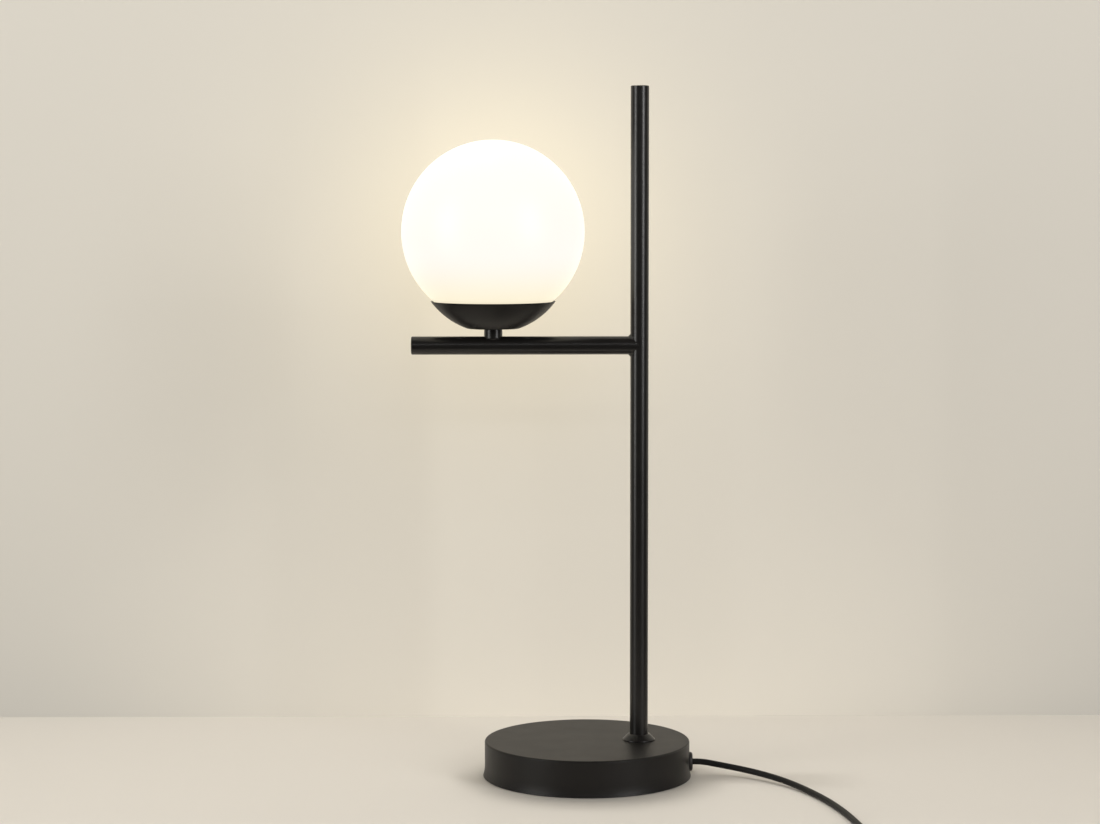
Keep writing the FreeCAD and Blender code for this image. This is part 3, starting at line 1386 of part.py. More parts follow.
def pieces():
    """Every piece of the lamp by its name."""
    return {
        "base_cover": base_cover(),
        "base_weight": base_weight(),
        "bottom_plate": bottom_plate(),
        "plate_screws": plate_screws(),
        "foot_pad": foot_pad(),
        "cord_grommet": cord_grommet(),
        "foot_collar": foot_collar(),
        "foot_bush": foot_bush(),
        "foot_nipple": foot_nipple(),
        "foot_washer": foot_washer(),
        "foot_nut": foot_nut(),
        "upright_tube": upright_tube(),
        "upright_end_cap": tube_cap(V(UPRIGHT_X, 0, TOTAL_H - CAP_HEAD_T), Z_AXIS),
        "arm_tube": arm_tube(),
        "arm_end_cap": tube_cap(V(ARM_END_X + CAP_HEAD_T, 0, ARM_Z), -X_AXIS),
        "arm_welds": arm_welds(),
        "stem": stem(),
        "head_nipple": head_nipple(),
        "cup": cup(),
        "globe_seal": globe_seal(),
        "globe_spider": globe_spider(),
        "lock_washer": lock_washer(),
        "opal_globe": opal_globe(),
        "lampholder_cap": lampholder_cap(),
        "lampholder_sleeve": lampholder_sleeve(),
        "lampholder_insert": lampholder_insert(),
        "screw_shell": screw_shell(),
        "centre_contact": centre_contact(),
        "terminal_screws": terminal_screws(),
        "bulb_tip": bulb_tip(),
        "bulb_insulator": bulb_insulator(),
        "bulb_cap": bulb_cap(),
        "bulb_housing": bulb_housing(),
        "bulb_board": bulb_board(),
        "bulb_dome": bulb_dome(),
        "live_wire": lamp_wire(1),
        "neutral_wire": lamp_wire(-1),
        "inner_cord": inner_cord(),
        "live_core": mains_core(1),
        "neutral_core": mains_core(-1),
        "terminal_block": terminal_block(),
        "block_ways": block_ways(),
        "block_screws": block_screws(),
        "cord_clamp": cord_clamp(),
        "inner_screws": inner_screws(),
        "cord_lead": cord_lead(),
        "cord_bridge": cord_bridge(),
        "cord_coil": cord_coil(),
        "cord_tail": cord_tail(),
        "coil_tie": coil_tie(),
        "switch_lower": switch_lower(),
        "switch_upper": switch_upper(),
        "switch_rocker": switch_rocker(),
        "rocker_pin": rocker_pin(),
        "switch_contacts": switch_contacts(),
        "switch_screws": switch_screws(),
        "plug_body": plug_body(),
        "plug_relief": plug_relief(),
        "plug_pins": plug_pins(),
        "pin_sleeves": pin_sleeves(),
    }


def main():
    """Write one STEP file for each piece."""
    os.makedirs("parts", exist_ok=True)
    for name, shape in pieces().items():
        shape.exportStep(f"parts/{name}.step")


main()
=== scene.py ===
"""Looks of a glass globe table lamp: its finishes, its cords and the pieces that need a softer or finer form.

Lengths are metres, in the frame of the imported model: +Z up, +X along the arm towards the upright, +Y away
from the viewer, and the origin under the middle of the base.
"""

import logging
import math
from dataclasses import dataclass, field
from enum import Enum
from typing import Any, Iterable, Sequence, Union

import bmesh
import bpy
from mathutils import Matrix, Vector


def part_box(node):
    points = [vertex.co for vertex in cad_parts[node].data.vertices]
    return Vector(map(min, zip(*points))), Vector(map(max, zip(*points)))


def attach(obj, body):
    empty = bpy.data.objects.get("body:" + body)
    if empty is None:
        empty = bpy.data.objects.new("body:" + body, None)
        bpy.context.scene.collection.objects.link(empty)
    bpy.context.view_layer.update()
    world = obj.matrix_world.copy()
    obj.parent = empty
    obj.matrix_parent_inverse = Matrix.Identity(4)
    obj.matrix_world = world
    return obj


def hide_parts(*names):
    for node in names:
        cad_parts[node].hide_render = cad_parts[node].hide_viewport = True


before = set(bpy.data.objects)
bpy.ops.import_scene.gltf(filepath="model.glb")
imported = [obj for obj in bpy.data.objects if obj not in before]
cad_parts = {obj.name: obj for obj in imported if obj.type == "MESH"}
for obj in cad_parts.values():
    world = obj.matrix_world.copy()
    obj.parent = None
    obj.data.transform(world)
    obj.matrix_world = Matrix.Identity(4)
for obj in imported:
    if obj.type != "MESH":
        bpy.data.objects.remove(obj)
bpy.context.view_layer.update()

LOG = logging.getLogger("lamp")
MM = 0.001
FULL_TURN = 2 * math.pi
QUARTER_TURN = math.pi / 2
MERGE_REACH = 0.001 * MM
NEAR = 0.1 * MM
FLAT_ANGLE = math.radians(0.4)
CORD_DIAMETER = 5.0 * MM
Colour = tuple[float, float, float]
Value = Union[float, Sequence[float], "Sock"]


def shown(red: float, green: float, blue: float) -> Colour:
    """Turn a colour as it shows, 0 to 255, into linear light by the sRGB curve.

    Args:
        red: Red as shown.
        green: Green as shown.
        blue: Blue as shown.

    Returns:
        The three linear values.
    """
    parts = (red / 255, green / 255, blue / 255)
    return tuple(p / 12.92 if p <= 0.04045 else ((p + 0.055) / 1.055) ** 2.4 for p in parts)


def scaled(colour: Colour, share: float) -> Colour:
    """Return a colour with each part multiplied by the share, and none above 1."""
    return tuple(min(1.0, part * share) for part in colour)


class Body(Enum):
    """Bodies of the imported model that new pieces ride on."""

    LAMP = "lamp_body"
    ROCKER = "rocker"
    GLOBE = "globe"


class Slot(Enum):
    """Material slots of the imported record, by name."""

    ENAMEL = "black_enamel"
    CORD = "black_cord"
    SWITCH = "switch_plastic"
    ROCKER = "rocker_plastic"
    RUBBER = "black_rubber"
    TIE = "tie_plastic"
    GLASS = "opal_glass"
    FOAM = "foam_pad"


# ---- Shader maths ----
class Sock:
    """A shader socket. Arithmetic on it adds Math nodes."""

    def __init__(self, graph: "Graph", socket: bpy.types.NodeSocket) -> None:
        """Keep the socket and the graph that it belongs to."""
        self.graph = graph
        self.socket = socket

    def _maths(self, operation: str, first: Value, second: Value) -> "Sock":
        """Return the result of a Math node."""
        return self.graph.node("ShaderNodeMath", {"operation": operation}, {0: first, 1: second})

    def __add__(self, other: Value) -> "Sock":
        """Return self + other."""
        return self._maths("ADD", self, other)

    def __sub__(self, other: Value) -> "Sock":
        """Return self - other."""
        return self._maths("SUBTRACT", self, other)

    def __rsub__(self, other: Value) -> "Sock":
        """Return other - self."""
        return self._maths("SUBTRACT", other, self)

    def __mul__(self, other: Value) -> "Sock":
        """Return self * other."""
        return self._maths("MULTIPLY", self, other)

    def __pow__(self, other: Value) -> "Sock":
        """Return self ** other."""
        return self._maths("POWER", self, other)

    __radd__ = __add__
    __rmul__ = __mul__


class Graph:
    """The node tree of one material, or of the world."""

    def __init__(self, name: str, of_world: bool = False) -> None:
        """Start an empty tree.

        Args:
            name: Name of the material or world.
            of_world: True for a world.
        """
        self.output = "ShaderNodeOutputWorld" if of_world else "ShaderNodeOutputMaterial"
        self.owner = (bpy.data.worlds if of_world else bpy.data.materials).new(name)
        self.owner.use_nodes = True
        self.tree = self.owner.node_tree
        self.tree.nodes.clear()

    def node(
        self,
        kind: str,
        settings: dict[str, Any] | None = None,
        inputs: dict[str | int, Value] | None = None,
        out: str | int = 0,
    ) -> Sock | None:
        """Add a node.

        Args:
            kind: The node's type.
            settings: Properties, set before the sockets.
            inputs: Values or sockets for its inputs, by name or number.
            out: The output to return, by name or number.

        Returns:
            The output, or None for a node that has none.
        """
        made = self.tree.nodes.new(kind)
        for key, value in (settings or {}).items():
            setattr(made, key, value)
        for key, value in (inputs or {}).items():
            socket = made.inputs[key]
            if isinstance(value, Sock):
                self.tree.links.new(value.socket, socket)
            elif socket.type == "RGBA" and len(value) == 3:
                socket.default_value = (*value, 1.0)
            else:
                socket.default_value = value
        return Sock(self, made.outputs[out]) if len(made.outputs) else None

    def place(self, stretch: Sequence[float] = (1.0, 1.0, 1.0)) -> Sock:
        """Return object coordinates, stretched along the axes."""
        spot = self.node("ShaderNodeTexCoord", out="Object")
        return self.node("ShaderNodeMapping", inputs={"Vector": spot, "Scale": stretch})

    def noise(self, spot: Sock, per_metre: float, detail: float = 2.0) -> Sock:
        """Return a soft noise around 0.5.

        Args:
            spot: Where it is read.
            per_metre: Number of its waves in a metre.
            detail: How many finer layers are added.

        Returns:
            The noise.
        """
        sizes = {"Vector": spot, "Scale": per_metre, "Detail": detail}
        return self.node("ShaderNodeTexNoise", inputs=sizes, out="Fac")

    @staticmethod
    def varied(middle: float, *swings: tuple[Sock, float]) -> Sock:
        """Return a value that varies about a middle.

        Args:
            middle: The middle.
            *swings: Noises around 0.5, each with how far it takes the value from its lowest to its highest.

        Returns:
            The value.
        """
        value = middle - sum(reach for _, reach in swings) / 2
        for noise, reach in swings:
            value = noise * reach + value
        return value

    def smooth_step(self, value: Sock, start: float, end: float) -> Sock:
        """Return 0 below the start, 1 above the end, and a smooth step between them."""
        settings = {"interpolation_type": "SMOOTHSTEP"}
        return self.node("ShaderNodeMapRange", settings, {"Value": value, "From Min": start, "From Max": end})

    def bump(self, height: Sock, depth: float) -> Sock:
        """Return a normal from a height of 0 to 1, where 1 stands for the depth in metres."""
        return self.node("ShaderNodeBump", inputs={"Height": height, "Distance": depth})

    def mix(self, share: Value, first: Value, second: Value) -> Sock:
        """Return a colour between two others.

        Args:
            share: 0 for the first, 1 for the second.
            first: The first colour.
            second: The second colour.

        Returns:
            The mixed colour.
        """
        settings = {"data_type": "RGBA"}
        return self.node("ShaderNodeMix", settings, {0: share, 6: first, 7: second}, out=2)

    def shader(self, **inputs: Value) -> Sock:
        """Return a Principled shader, its inputs given with underscores for spaces."""
        named = {key.replace("_", " "): value for key, value in inputs.items()}
        return self.node("ShaderNodeBsdfPrincipled", inputs=named)

    def layered(self, share: Value, first: Sock, second: Sock) -> Sock:
        """Return a shader that is the first where the share is 0, and the second where it is 1."""
        return self.node("ShaderNodeMixShader", inputs={0: share, 1: first, 2: second})

    def surface(self, shader: Sock) -> bpy.types.Material | bpy.types.World:
        """Return the material or world, with this shader as its surface."""
        self.node(self.output, inputs={"Surface": shader})
        return self.owner

    def principled(self, **inputs: Value) -> bpy.types.Material:
        """Return the material with a Principled surface of these inputs."""
        return self.surface(self.shader(**inputs))


# ---- Finishes ----
@dataclass(frozen=True)
class PowderCoat:
    """Powder coat with a fine orange peel, slow patches and a little dust."""

    name: str = "satin_powder_coat"
    colour: Colour = (0.0046, 0.0038, 0.0033)
    patch_tint: float = 1.35
    dust_colour: Colour = (0.10, 0.095, 0.09)
    dust_cover: float = 0.9
    dust_rarity: float = 6.0
    roughness: float = 0.31
    patch_swing: float = 0.08
    grain_swing: float = 0.05
    gloss_level: float = 0.50
    patches_per_metre: float = 38.0
    peel_per_metre: float = 620.0
    grain_per_metre: float = 2600.0
    dust_per_metre: float = 5200.0
    peel_share: float = 0.65
    depth: float = 0.016 * MM

    def make(self) -> bpy.types.Material:
        """Make the finish.

        Returns:
            The material.
        """
        graph = Graph(self.name)
        spot = graph.place()
        peel = graph.noise(spot, self.peel_per_metre)
        grain = graph.noise(spot, self.grain_per_metre)
        patches = graph.noise(spot, self.patches_per_metre, detail=3.0)
        dust = graph.noise(spot, self.dust_per_metre) ** self.dust_rarity
        tint = graph.mix(patches, self.colour, scaled(self.colour, self.patch_tint))
        height = peel * self.peel_share + grain * (1 - self.peel_share)
        return graph.principled(
            Base_Color=graph.mix(dust * self.dust_cover, tint, self.dust_colour),
            Roughness=graph.varied(self.roughness, (patches, self.patch_swing), (grain, self.grain_swing)),
            Specular_IOR_Level=self.gloss_level,
            Normal=graph.bump(height, self.depth),
        )


@dataclass(frozen=True)
class OpalGlass:
    """Lit opal glass, a little warmer towards its mouth."""

    name: str = "lit_opal_glass"
    white: Colour = (1.0, 0.975, 0.92)
    warm: Colour = (1.0, 0.90, 0.66)
    body: Colour = (0.15, 0.14, 0.12)
    strength: float = 0.90
    warm_share: float = 0.36
    clouds_per_metre: float = 34.0
    cloud_tint: float = 0.05
    roughness: float = 0.445
    cloud_swing: float = 0.05
    ripples_per_metre: float = 55.0
    depth: float = 0.02 * MM

    def make(self) -> bpy.types.Material:
        """Make the finish.

        Returns:
            The material.
        """
        low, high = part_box("opal_globe")
        graph = Graph(self.name)
        spot = graph.place()
        height = graph.node("ShaderNodeSeparateXYZ", inputs={0: spot}, out="Z")
        share = graph.smooth_step(height, low.z, low.z + self.warm_share * (high.z - low.z))
        cloud = graph.noise(spot, self.clouds_per_metre, detail=3.0)
        glow = graph.mix(share, self.warm, self.white)
        return graph.principled(
            Base_Color=self.body,
            Roughness=graph.varied(self.roughness, (cloud, self.cloud_swing)),
            Emission_Color=graph.mix(cloud * self.cloud_tint, glow, self.warm),
            Emission_Strength=self.strength,
            Normal=graph.bump(graph.noise(spot, self.ripples_per_metre), self.depth),
        )


@dataclass(frozen=True)
class Moulded:
    """Moulded plastic or rubber with a spark-eroded texture."""

    name: str
    colour: Colour
    roughness: float = 0.45
    grain_per_metre: float = 1900.0
    depth: float = 0.012 * MM
    clouds_per_metre: float = 70.0
    cloud_tint: float = 1.25
    grain_swing: float = 0.10
    cloud_swing: float = 0.06

    def make(self) -> bpy.types.Material:
        """Make the finish.

        Returns:
            The material.
        """
        graph = Graph(self.name)
        spot = graph.place()
        grain = graph.noise(spot, self.grain_per_metre, detail=3.0)
        cloud = graph.noise(spot, self.clouds_per_metre, detail=3.0)
        return graph.principled(
            Base_Color=graph.mix(cloud, self.colour, scaled(self.colour, self.cloud_tint)),
            Roughness=graph.varied(self.roughness, (grain, self.grain_swing), (cloud, self.cloud_swing)),
            Normal=graph.bump(grain, self.depth),
        )


@dataclass(frozen=True)
class Sheath:
    """Extruded sheath of a cord or core, with a slow waviness from the extruder."""

    name: str
    colour: Colour
    roughness: float = 0.30
    gloss_level: float = 0.5
    waves_per_metre: float = 130.0
    wave_tint: float = 1.3
    wave_share: float = 0.8
    skin_per_metre: float = 2200.0
    skin_swing: float = 0.10
    depth: float = 0.03 * MM

    def make(self) -> bpy.types.Material:
        """Make the finish.

        Returns:
            The material.
        """
        graph = Graph(self.name)
        spot = graph.place()
        wave = graph.noise(spot, self.waves_per_metre)
        skin = graph.noise(spot, self.skin_per_metre)
        height = wave * self.wave_share + skin * (1 - self.wave_share)
        return graph.principled(
            Base_Color=graph.mix(wave, self.colour, scaled(self.colour, self.wave_tint)),
            Roughness=graph.varied(self.roughness, (skin, self.skin_swing)),
            Specular_IOR_Level=self.gloss_level,
            Normal=graph.bump(height, self.depth),
        )


@dataclass(frozen=True)
class Metal:
    """Bare or plated metal with a drawn or turned grain."""

    name: str
    colour: Colour
    roughness: float = 0.28
    stretch: tuple[float, float, float] = (1.0, 1.0, 14.0)
    grain_per_metre: float = 900.0
    grain_swing: float = 0.12
    clouds_per_metre: float = 160.0
    cloud_tint: float = 0.72
    cloud_swing: float = 0.10
    depth: float = 0.006 * MM

    def make(self) -> bpy.types.Material:
        """Make the finish.

        Returns:
            The material.
        """
        graph = Graph(self.name)
        grain = graph.noise(graph.place(self.stretch), self.grain_per_metre, detail=3.0)
        cloud = graph.noise(graph.place(), self.clouds_per_metre, detail=3.0)
        return graph.principled(
            Base_Color=graph.mix(cloud, self.colour, scaled(self.colour, self.cloud_tint)),
            Metallic=1.0,
            Roughness=graph.varied(self.roughness, (grain, self.grain_swing), (cloud, self.cloud_swing)),
            Normal=graph.bump(grain, self.depth),
        )


@dataclass(frozen=True)
class Cast:
    """Rough surface: sand-cast iron, foam or unglazed ceramic."""

    name: str
    colour: Colour
    roughness: float
    metallic: float
    pores_per_metre: float
    depth: float
    pore_tint: float = 0.7
    pore_share: float = 0.6
    clumps_per_pore: float = 0.4
    clump_swing: float = 0.15

    def make(self) -> bpy.types.Material:
        """Make the finish.

        Returns:
            The material.
        """
        graph = Graph(self.name)
        spot = graph.place()
        cells = {"Vector": spot, "Scale": self.pores_per_metre}
        pores = graph.node("ShaderNodeTexVoronoi", inputs=cells, out="Distance")
        clumps = graph.noise(spot, self.pores_per_metre * self.clumps_per_pore, detail=4.0)
        height = pores * self.pore_share + clumps * (1 - self.pore_share)
        return graph.principled(
            Base_Color=graph.mix(pores, scaled(self.colour, self.pore_tint), self.colour),
            Metallic=self.metallic,
            Roughness=graph.varied(self.roughness, (clumps, self.clump_swing)),
            Normal=graph.bump(height, self.depth),
        )


@dataclass(frozen=True)
class Diffuser:
    """Frosted dome of the lit bulb."""

    name: str = "frosted_diffuser"
    white: Colour = (1.0, 0.97, 0.86)
    warm: Colour = (1.0, 0.93, 0.76)
    body: Colour = (0.55, 0.54, 0.50)
    strength: float = 0.8
    clouds_per_metre: float = 40.0
    frost_per_metre: float = 2600.0
    roughness: float = 0.55
    frost_swing: float = 0.1
    depth: float = 0.01 * MM

    def make(self) -> bpy.types.Material:
        """Make the finish.

        Returns:
            The material.
        """
        graph = Graph(self.name)
        spot = graph.place()
        frost = graph.noise(spot, self.frost_per_metre)
        return graph.principled(
            Base_Color=self.body,
            Roughness=graph.varied(self.roughness, (frost, self.frost_swing)),
            Emission_Color=graph.mix(graph.noise(spot, self.clouds_per_metre), self.warm, self.white),
            Emission_Strength=self.strength,
            Normal=graph.bump(frost, self.depth),
        )


@dataclass(frozen=True)
class Woven:
    """Woven strap of the cord's tie."""

    name: str = "woven_strap"
    colour: Colour = (0.018, 0.018, 0.019)
    thread_tint: float = 2.6
    threads_per_metre: float = 1500.0
    unevenness: float = 0.4
    roughness: float = 0.7
    thread_swing: float = 0.2
    depth: float = 0.06 * MM

    def make(self) -> bpy.types.Material:
        """Make the finish.

        Returns:
            The material.
        """
        graph = Graph(self.name)
        spot = graph.place()
        waves = []
        for axis in ("Y", "Z"):
            settings = {"bands_direction": axis}
            inputs = {"Vector": spot, "Scale": self.threads_per_metre, "Distortion": self.unevenness}
            waves.append(graph.node("ShaderNodeTexWave", settings, inputs, out="Fac"))
        weave = waves[0] * waves[1]
        return graph.principled(
            Base_Color=graph.mix(weave, self.colour, scaled(self.colour, self.thread_tint)),
            Roughness=graph.varied(self.roughness, (weave, self.thread_swing)),
            Normal=graph.bump(weave, self.depth),
        )


BLACK_ENAMEL = PowderCoat()
MATT_ENAMEL = PowderCoat("matt_powder_coat", roughness=0.44, gloss_level=0.26)
SATIN_RUBBER = Moulded("satin_rubber", (0.0105, 0.0100, 0.0098), 0.42)
BLACK_SHEATH = Sheath("black_sheath", (0.0060, 0.0060, 0.0058), 0.48, 0.22)
HOUSING_PLASTIC = Moulded("housing_plastic", (0.0120, 0.0118, 0.0118), 0.40, 1500.0, 0.02 * MM)
ROCKER_PLASTIC = Moulded("rocker_plastic", (0.0135, 0.0130, 0.0130), 0.22, 700.0, 0.004 * MM)
MARK_PAINT = Moulded("mark_paint", (0.58, 0.58, 0.56), 0.50)
NICKEL_PLATE = Metal("nickel_plate", (0.66, 0.64, 0.60), 0.20)
OPAL = OpalGlass()
STRAP = Woven()
FOAM = Cast("cell_foam", (0.020, 0.020, 0.021), 0.845, 0.0, 1300.0, 0.10 * MM)

NODE_FINISHES = {
    BLACK_ENAMEL: (
        "foot_collar", "upright_tube", "upright_end_cap", "arm_tube", "arm_end_cap", "arm_welds", "stem",
    ),
    MATT_ENAMEL: ("base_cover", "cup"),
    OPAL: ("opal_globe",),
    SATIN_RUBBER: ("cord_grommet", "globe_seal", "plug_body", "plug_relief"),
    BLACK_SHEATH: ("inner_cord", "cord_lead", "cord_bridge", "cord_coil", "cord_tail"),
    HOUSING_PLASTIC: ("switch_lower", "switch_upper"),
    ROCKER_PLASTIC: ("switch_rocker",),
    NICKEL_PLATE: ("plug_pins", "bulb_cap", "bulb_tip"),
    Moulded("pin_sleeve_plastic", (0.014, 0.014, 0.014), 0.35): ("pin_sleeves",),
    Moulded("lampholder_plastic", (0.016, 0.015, 0.015), 0.48): (
        "lampholder_cap", "lampholder_sleeve", "cord_clamp",
    ),
    Moulded("white_plastic", (0.74, 0.73, 0.70), 0.42): ("bulb_housing", "bulb_board", "terminal_block"),
    Sheath("brown_insulation", (0.13, 0.055, 0.028)): ("live_wire", "live_core"),
    Sheath("blue_insulation", (0.045, 0.12, 0.42)): ("neutral_wire", "neutral_core"),
    Metal("zinc_plate", (0.56, 0.55, 0.52), 0.34): (
        "bottom_plate", "foot_bush", "foot_nipple", "foot_washer", "foot_nut", "head_nipple", "lock_washer",
    ),
    Metal("screw_steel", (0.50, 0.49, 0.47), 0.30, (1.0, 1.0, 4.0), 1400.0): (
        "plate_screws", "inner_screws", "block_screws", "terminal_screws", "switch_screws", "rocker_pin",
    ),
    Metal("spring_steel", (0.44, 0.44, 0.45), 0.24, (6.0, 1.0, 1.0)): ("globe_spider",),
    Metal("stamped_brass", (0.72, 0.53, 0.24), 0.26, (1.0, 8.0, 1.0)): (
        "screw_shell", "centre_contact", "block_ways", "switch_contacts",
    ),
    Cast("cast_iron", (0.075, 0.072, 0.070), 0.615, 0.6, 420.0, 0.12 * MM): ("base_weight",),
    FOAM: ("foot_pad",),
    Cast("steatite", (0.76, 0.74, 0.70), 0.595, 0.0, 1700.0, 0.02 * MM): ("lampholder_insert",),
    Cast("fused_glass", (0.030, 0.030, 0.040), 0.155, 0.0, 600.0, 0.005 * MM): ("bulb_insulator",),
    Diffuser(): ("bulb_dome",),
    STRAP: ("coil_tie",),
}


@dataclass
class Paintshop:
    """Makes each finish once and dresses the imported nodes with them."""

    made: dict[Any, bpy.types.Material] = field(default_factory=dict)

    def material(self, finish: Any) -> bpy.types.Material:
        """Return a finish's material, made at its first use.

        Args:
            finish: The finish.

        Returns:
            Its material.
        """
        if finish not in self.made:
            self.made[finish] = finish.make()
        return self.made[finish]

    def dress_nodes(self) -> None:
        """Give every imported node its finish."""
        for finish, nodes in NODE_FINISHES.items():
            for name in nodes:
                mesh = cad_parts[name].data
                mesh.materials.clear()
                mesh.materials.append(self.material(finish))
            LOG.info("%s on %s", finish.name, ", ".join(nodes))


# ---- Modelled pieces ----
Shape = bmesh.types.BMesh


def packed_copy(node: str) -> Shape:
    """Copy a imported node's shape, with its doubles merged and its flat faces joined.

    Args:
        node: The node.

    Returns:
        The copy.
    """
    shape = bmesh.new()
    shape.from_mesh(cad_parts[node].data)
    bmesh.ops.remove_doubles(shape, verts=shape.verts, dist=MERGE_REACH)
    bmesh.ops.dissolve_limit(shape, angle_limit=FLAT_ANGLE, verts=shape.verts, edges=shape.edges)
    return shape


def edges_of(verts: Iterable[bmesh.types.BMVert]) -> list[bmesh.types.BMEdge]:
    """Return the edges that meet at some corners, each once and always in the same order."""
    return list(dict.fromkeys(edge for vert in verts for edge in vert.link_edges))


def spans(edge: bmesh.types.BMEdge, axis: int) -> bool:
    """Tell whether an edge runs more than a millimetre along an axis."""
    return abs(edge.verts[0].co[axis] - edge.verts[1].co[axis]) > MM


def round_off(
    shape: Shape, edges: Sequence[bmesh.types.BMEdge], radius: float, facets: int, clamp: bool = True
) -> None:
    """Round some of a shape's edges.

    Args:
        shape: The shape.
        edges: The edges.
        radius: How far the rounding reaches.
        facets: Number of its facets.
        clamp: True to make it smaller where two roundings would meet.
    """
    bmesh.ops.bevel(
        shape, geom=edges, offset=radius, segments=facets, profile=0.5, affect="EDGES", material=-1,
        clamp_overlap=clamp,
    )


def soften(shape: Shape, radius: float, facets: int = 2, least: float = 32.0) -> None:
    """Round all of a shape's sharp edges.

    Args:
        shape: The shape.
        radius: How far the rounding reaches.
        facets: Number of its facets.
        least: Least angle of an edge that is rounded, in degrees.
    """
    sharp = [e for e in shape.edges if e.is_manifold and e.calc_face_angle() > math.radians(least)]
    round_off(shape, sharp, radius, facets)


def add_box(
    shape: Shape, middle: Sequence[float], size: Sequence[float], radius: float, facets: int = 3
) -> None:
    """Add a box with rounded edges.

    Args:
        shape: The shape that it is added to.
        middle: Its middle.
        size: Its size.
        radius: Rounding of its edges.
        facets: Number of the rounding's facets.
    """
    place = Matrix.Translation(middle) @ Matrix.Diagonal((*size, 1.0))
    verts = bmesh.ops.create_cube(shape, size=1.0, matrix=place)["verts"]
    round_off(shape, edges_of(verts), radius, facets)


def cut_across(shape: Shape, axis: int, place: float, keep_above: bool = False) -> None:
    """Cut a shape square to an axis.

    Args:
        shape: The shape.
        axis: Number of the axis.
        place: Where on the axis.
        keep_above: True to drop what lies below the cut.
    """
    everything = shape.verts[:] + shape.edges[:] + shape.faces[:]
    way = Vector((axis == 0, axis == 1, axis == 2))
    bmesh.ops.bisect_plane(shape, geom=everything, plane_co=way * place, plane_no=way, clear_inner=keep_above)


def full_spin(shape: Shape, geometry: list[Any], axis: tuple[int, int, int], steps: int) -> None:
    """Spin geometry once round an axis through the origin, in so many steps."""
    bmesh.ops.spin(
        shape, geom=geometry, cent=(0, 0, 0), axis=axis, angle=FULL_TURN, steps=steps, use_merge=True
    )


def spun(profile: Sequence[tuple[float, float]], steps: int) -> Shape:
    """Turn a profile about the X axis.

    Args:
        profile: Places along the axis and radii. It starts and ends on the axis.
        steps: Number of steps round.

    Returns:
        The closed shape.
    """
    shape = bmesh.new()
    verts = [shape.verts.new((along, radius, 0.0)) for along, radius in profile]
    edges = [shape.edges.new(pair) for pair in zip(verts, verts[1:])]
    full_spin(shape, verts + edges, (1, 0, 0), steps)
    bmesh.ops.remove_doubles(shape, verts=shape.verts, dist=MERGE_REACH)
    bmesh.ops.recalc_face_normals(shape, faces=shape.faces)
    return shape


@dataclass
class Workshop:
    """Turns finished shapes into pieces of the lamp."""

    paint: Paintshop
    sharp: float = 36.0

    def piece(
        self, name: str, shape: Shape, finish: Any, nodes: Sequence[str] = (),
        body: Body = Body.LAMP,
    ) -> bpy.types.Object:
        """Make a piece from a shape.

        Args:
            name: The piece's name.
            shape: Its shape, which is freed.
            finish: Its finish.
            nodes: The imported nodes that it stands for.
            body: The body that it rides on.

        Returns:
            The piece's object.
        """
        mesh = bpy.data.meshes.new(name)
        shape.to_mesh(mesh)
        shape.free()
        mesh.shade_smooth()
        mesh.set_sharp_from_angle(angle=math.radians(self.sharp))
        mesh.materials.append(self.paint.material(finish))
        made = bpy.data.objects.new(name, mesh)
        bpy.context.scene.collection.objects.link(made)
        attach(made, body.value)
        if nodes:
            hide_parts(*nodes)
        LOG.info("%s: %d faces", name, len(mesh.polygons))
        return made


@dataclass
class Head:
    """The glass ball and its cup, and the collar at the foot, which is spun and rounded as the cup is."""

    glass_wall: float = 2.4 * MM
    mouth_radius: float = 36.0 * MM
    sides: int = 128
    rings: int = 72
    lip: float = 0.7 * MM
    lip_facets: int = 4
    rim: float = 0.25 * MM

    def build(self, shop: Workshop) -> None:
        """Build the pieces.

        Args:
            shop: Where they are made.
        """
        shop.piece("glass_ball", self._ball(), OPAL, ["opal_globe"], Body.GLOBE)
        rimmed = (("spun_cup", "cup", MATT_ENAMEL), ("collar_cone", "foot_collar", BLACK_ENAMEL))
        for name, node, coat in rimmed:
            shape = packed_copy(node)
            soften(shape, self.rim)
            shop.piece(name, shape, coat, [node])

    def _ball(self) -> Shape:
        """Model the blown ball, open at its mouth, with a fire-polished lip.

        Returns:
            Its shape.
        """
        low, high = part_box("opal_globe")
        radius = (high.x - low.x) / 2
        mouth_out = self.mouth_radius * radius / (radius - self.glass_wall)
        cut = -math.sqrt(radius**2 - mouth_out**2)
        shape = bmesh.new()
        bmesh.ops.create_uvsphere(shape, u_segments=self.sides, v_segments=self.rings, radius=radius)
        cut_across(shape, 2, cut, keep_above=True)
        bmesh.ops.solidify(shape, geom=shape.faces[:], thickness=self.glass_wall)
        soften(shape, self.lip, self.lip_facets)
        middle = Vector(((low.x + high.x) / 2, 0.0, high.z - radius))
        bmesh.ops.translate(shape, verts=shape.verts, vec=middle)
        return shape


@dataclass
class FootPad:
    """Die-cut foam under the base."""

    edge: float = 0.35 * MM
    edge_facets: int = 3

    def build(self, shop: Workshop) -> None:
        """Build the pad.

        Args:
            shop: Where it is made.
        """
        shape = packed_copy("foot_pad")
        soften(shape, self.edge, self.edge_facets)
        shop.piece("foam_sheet", shape, FOAM, ["foot_pad"])


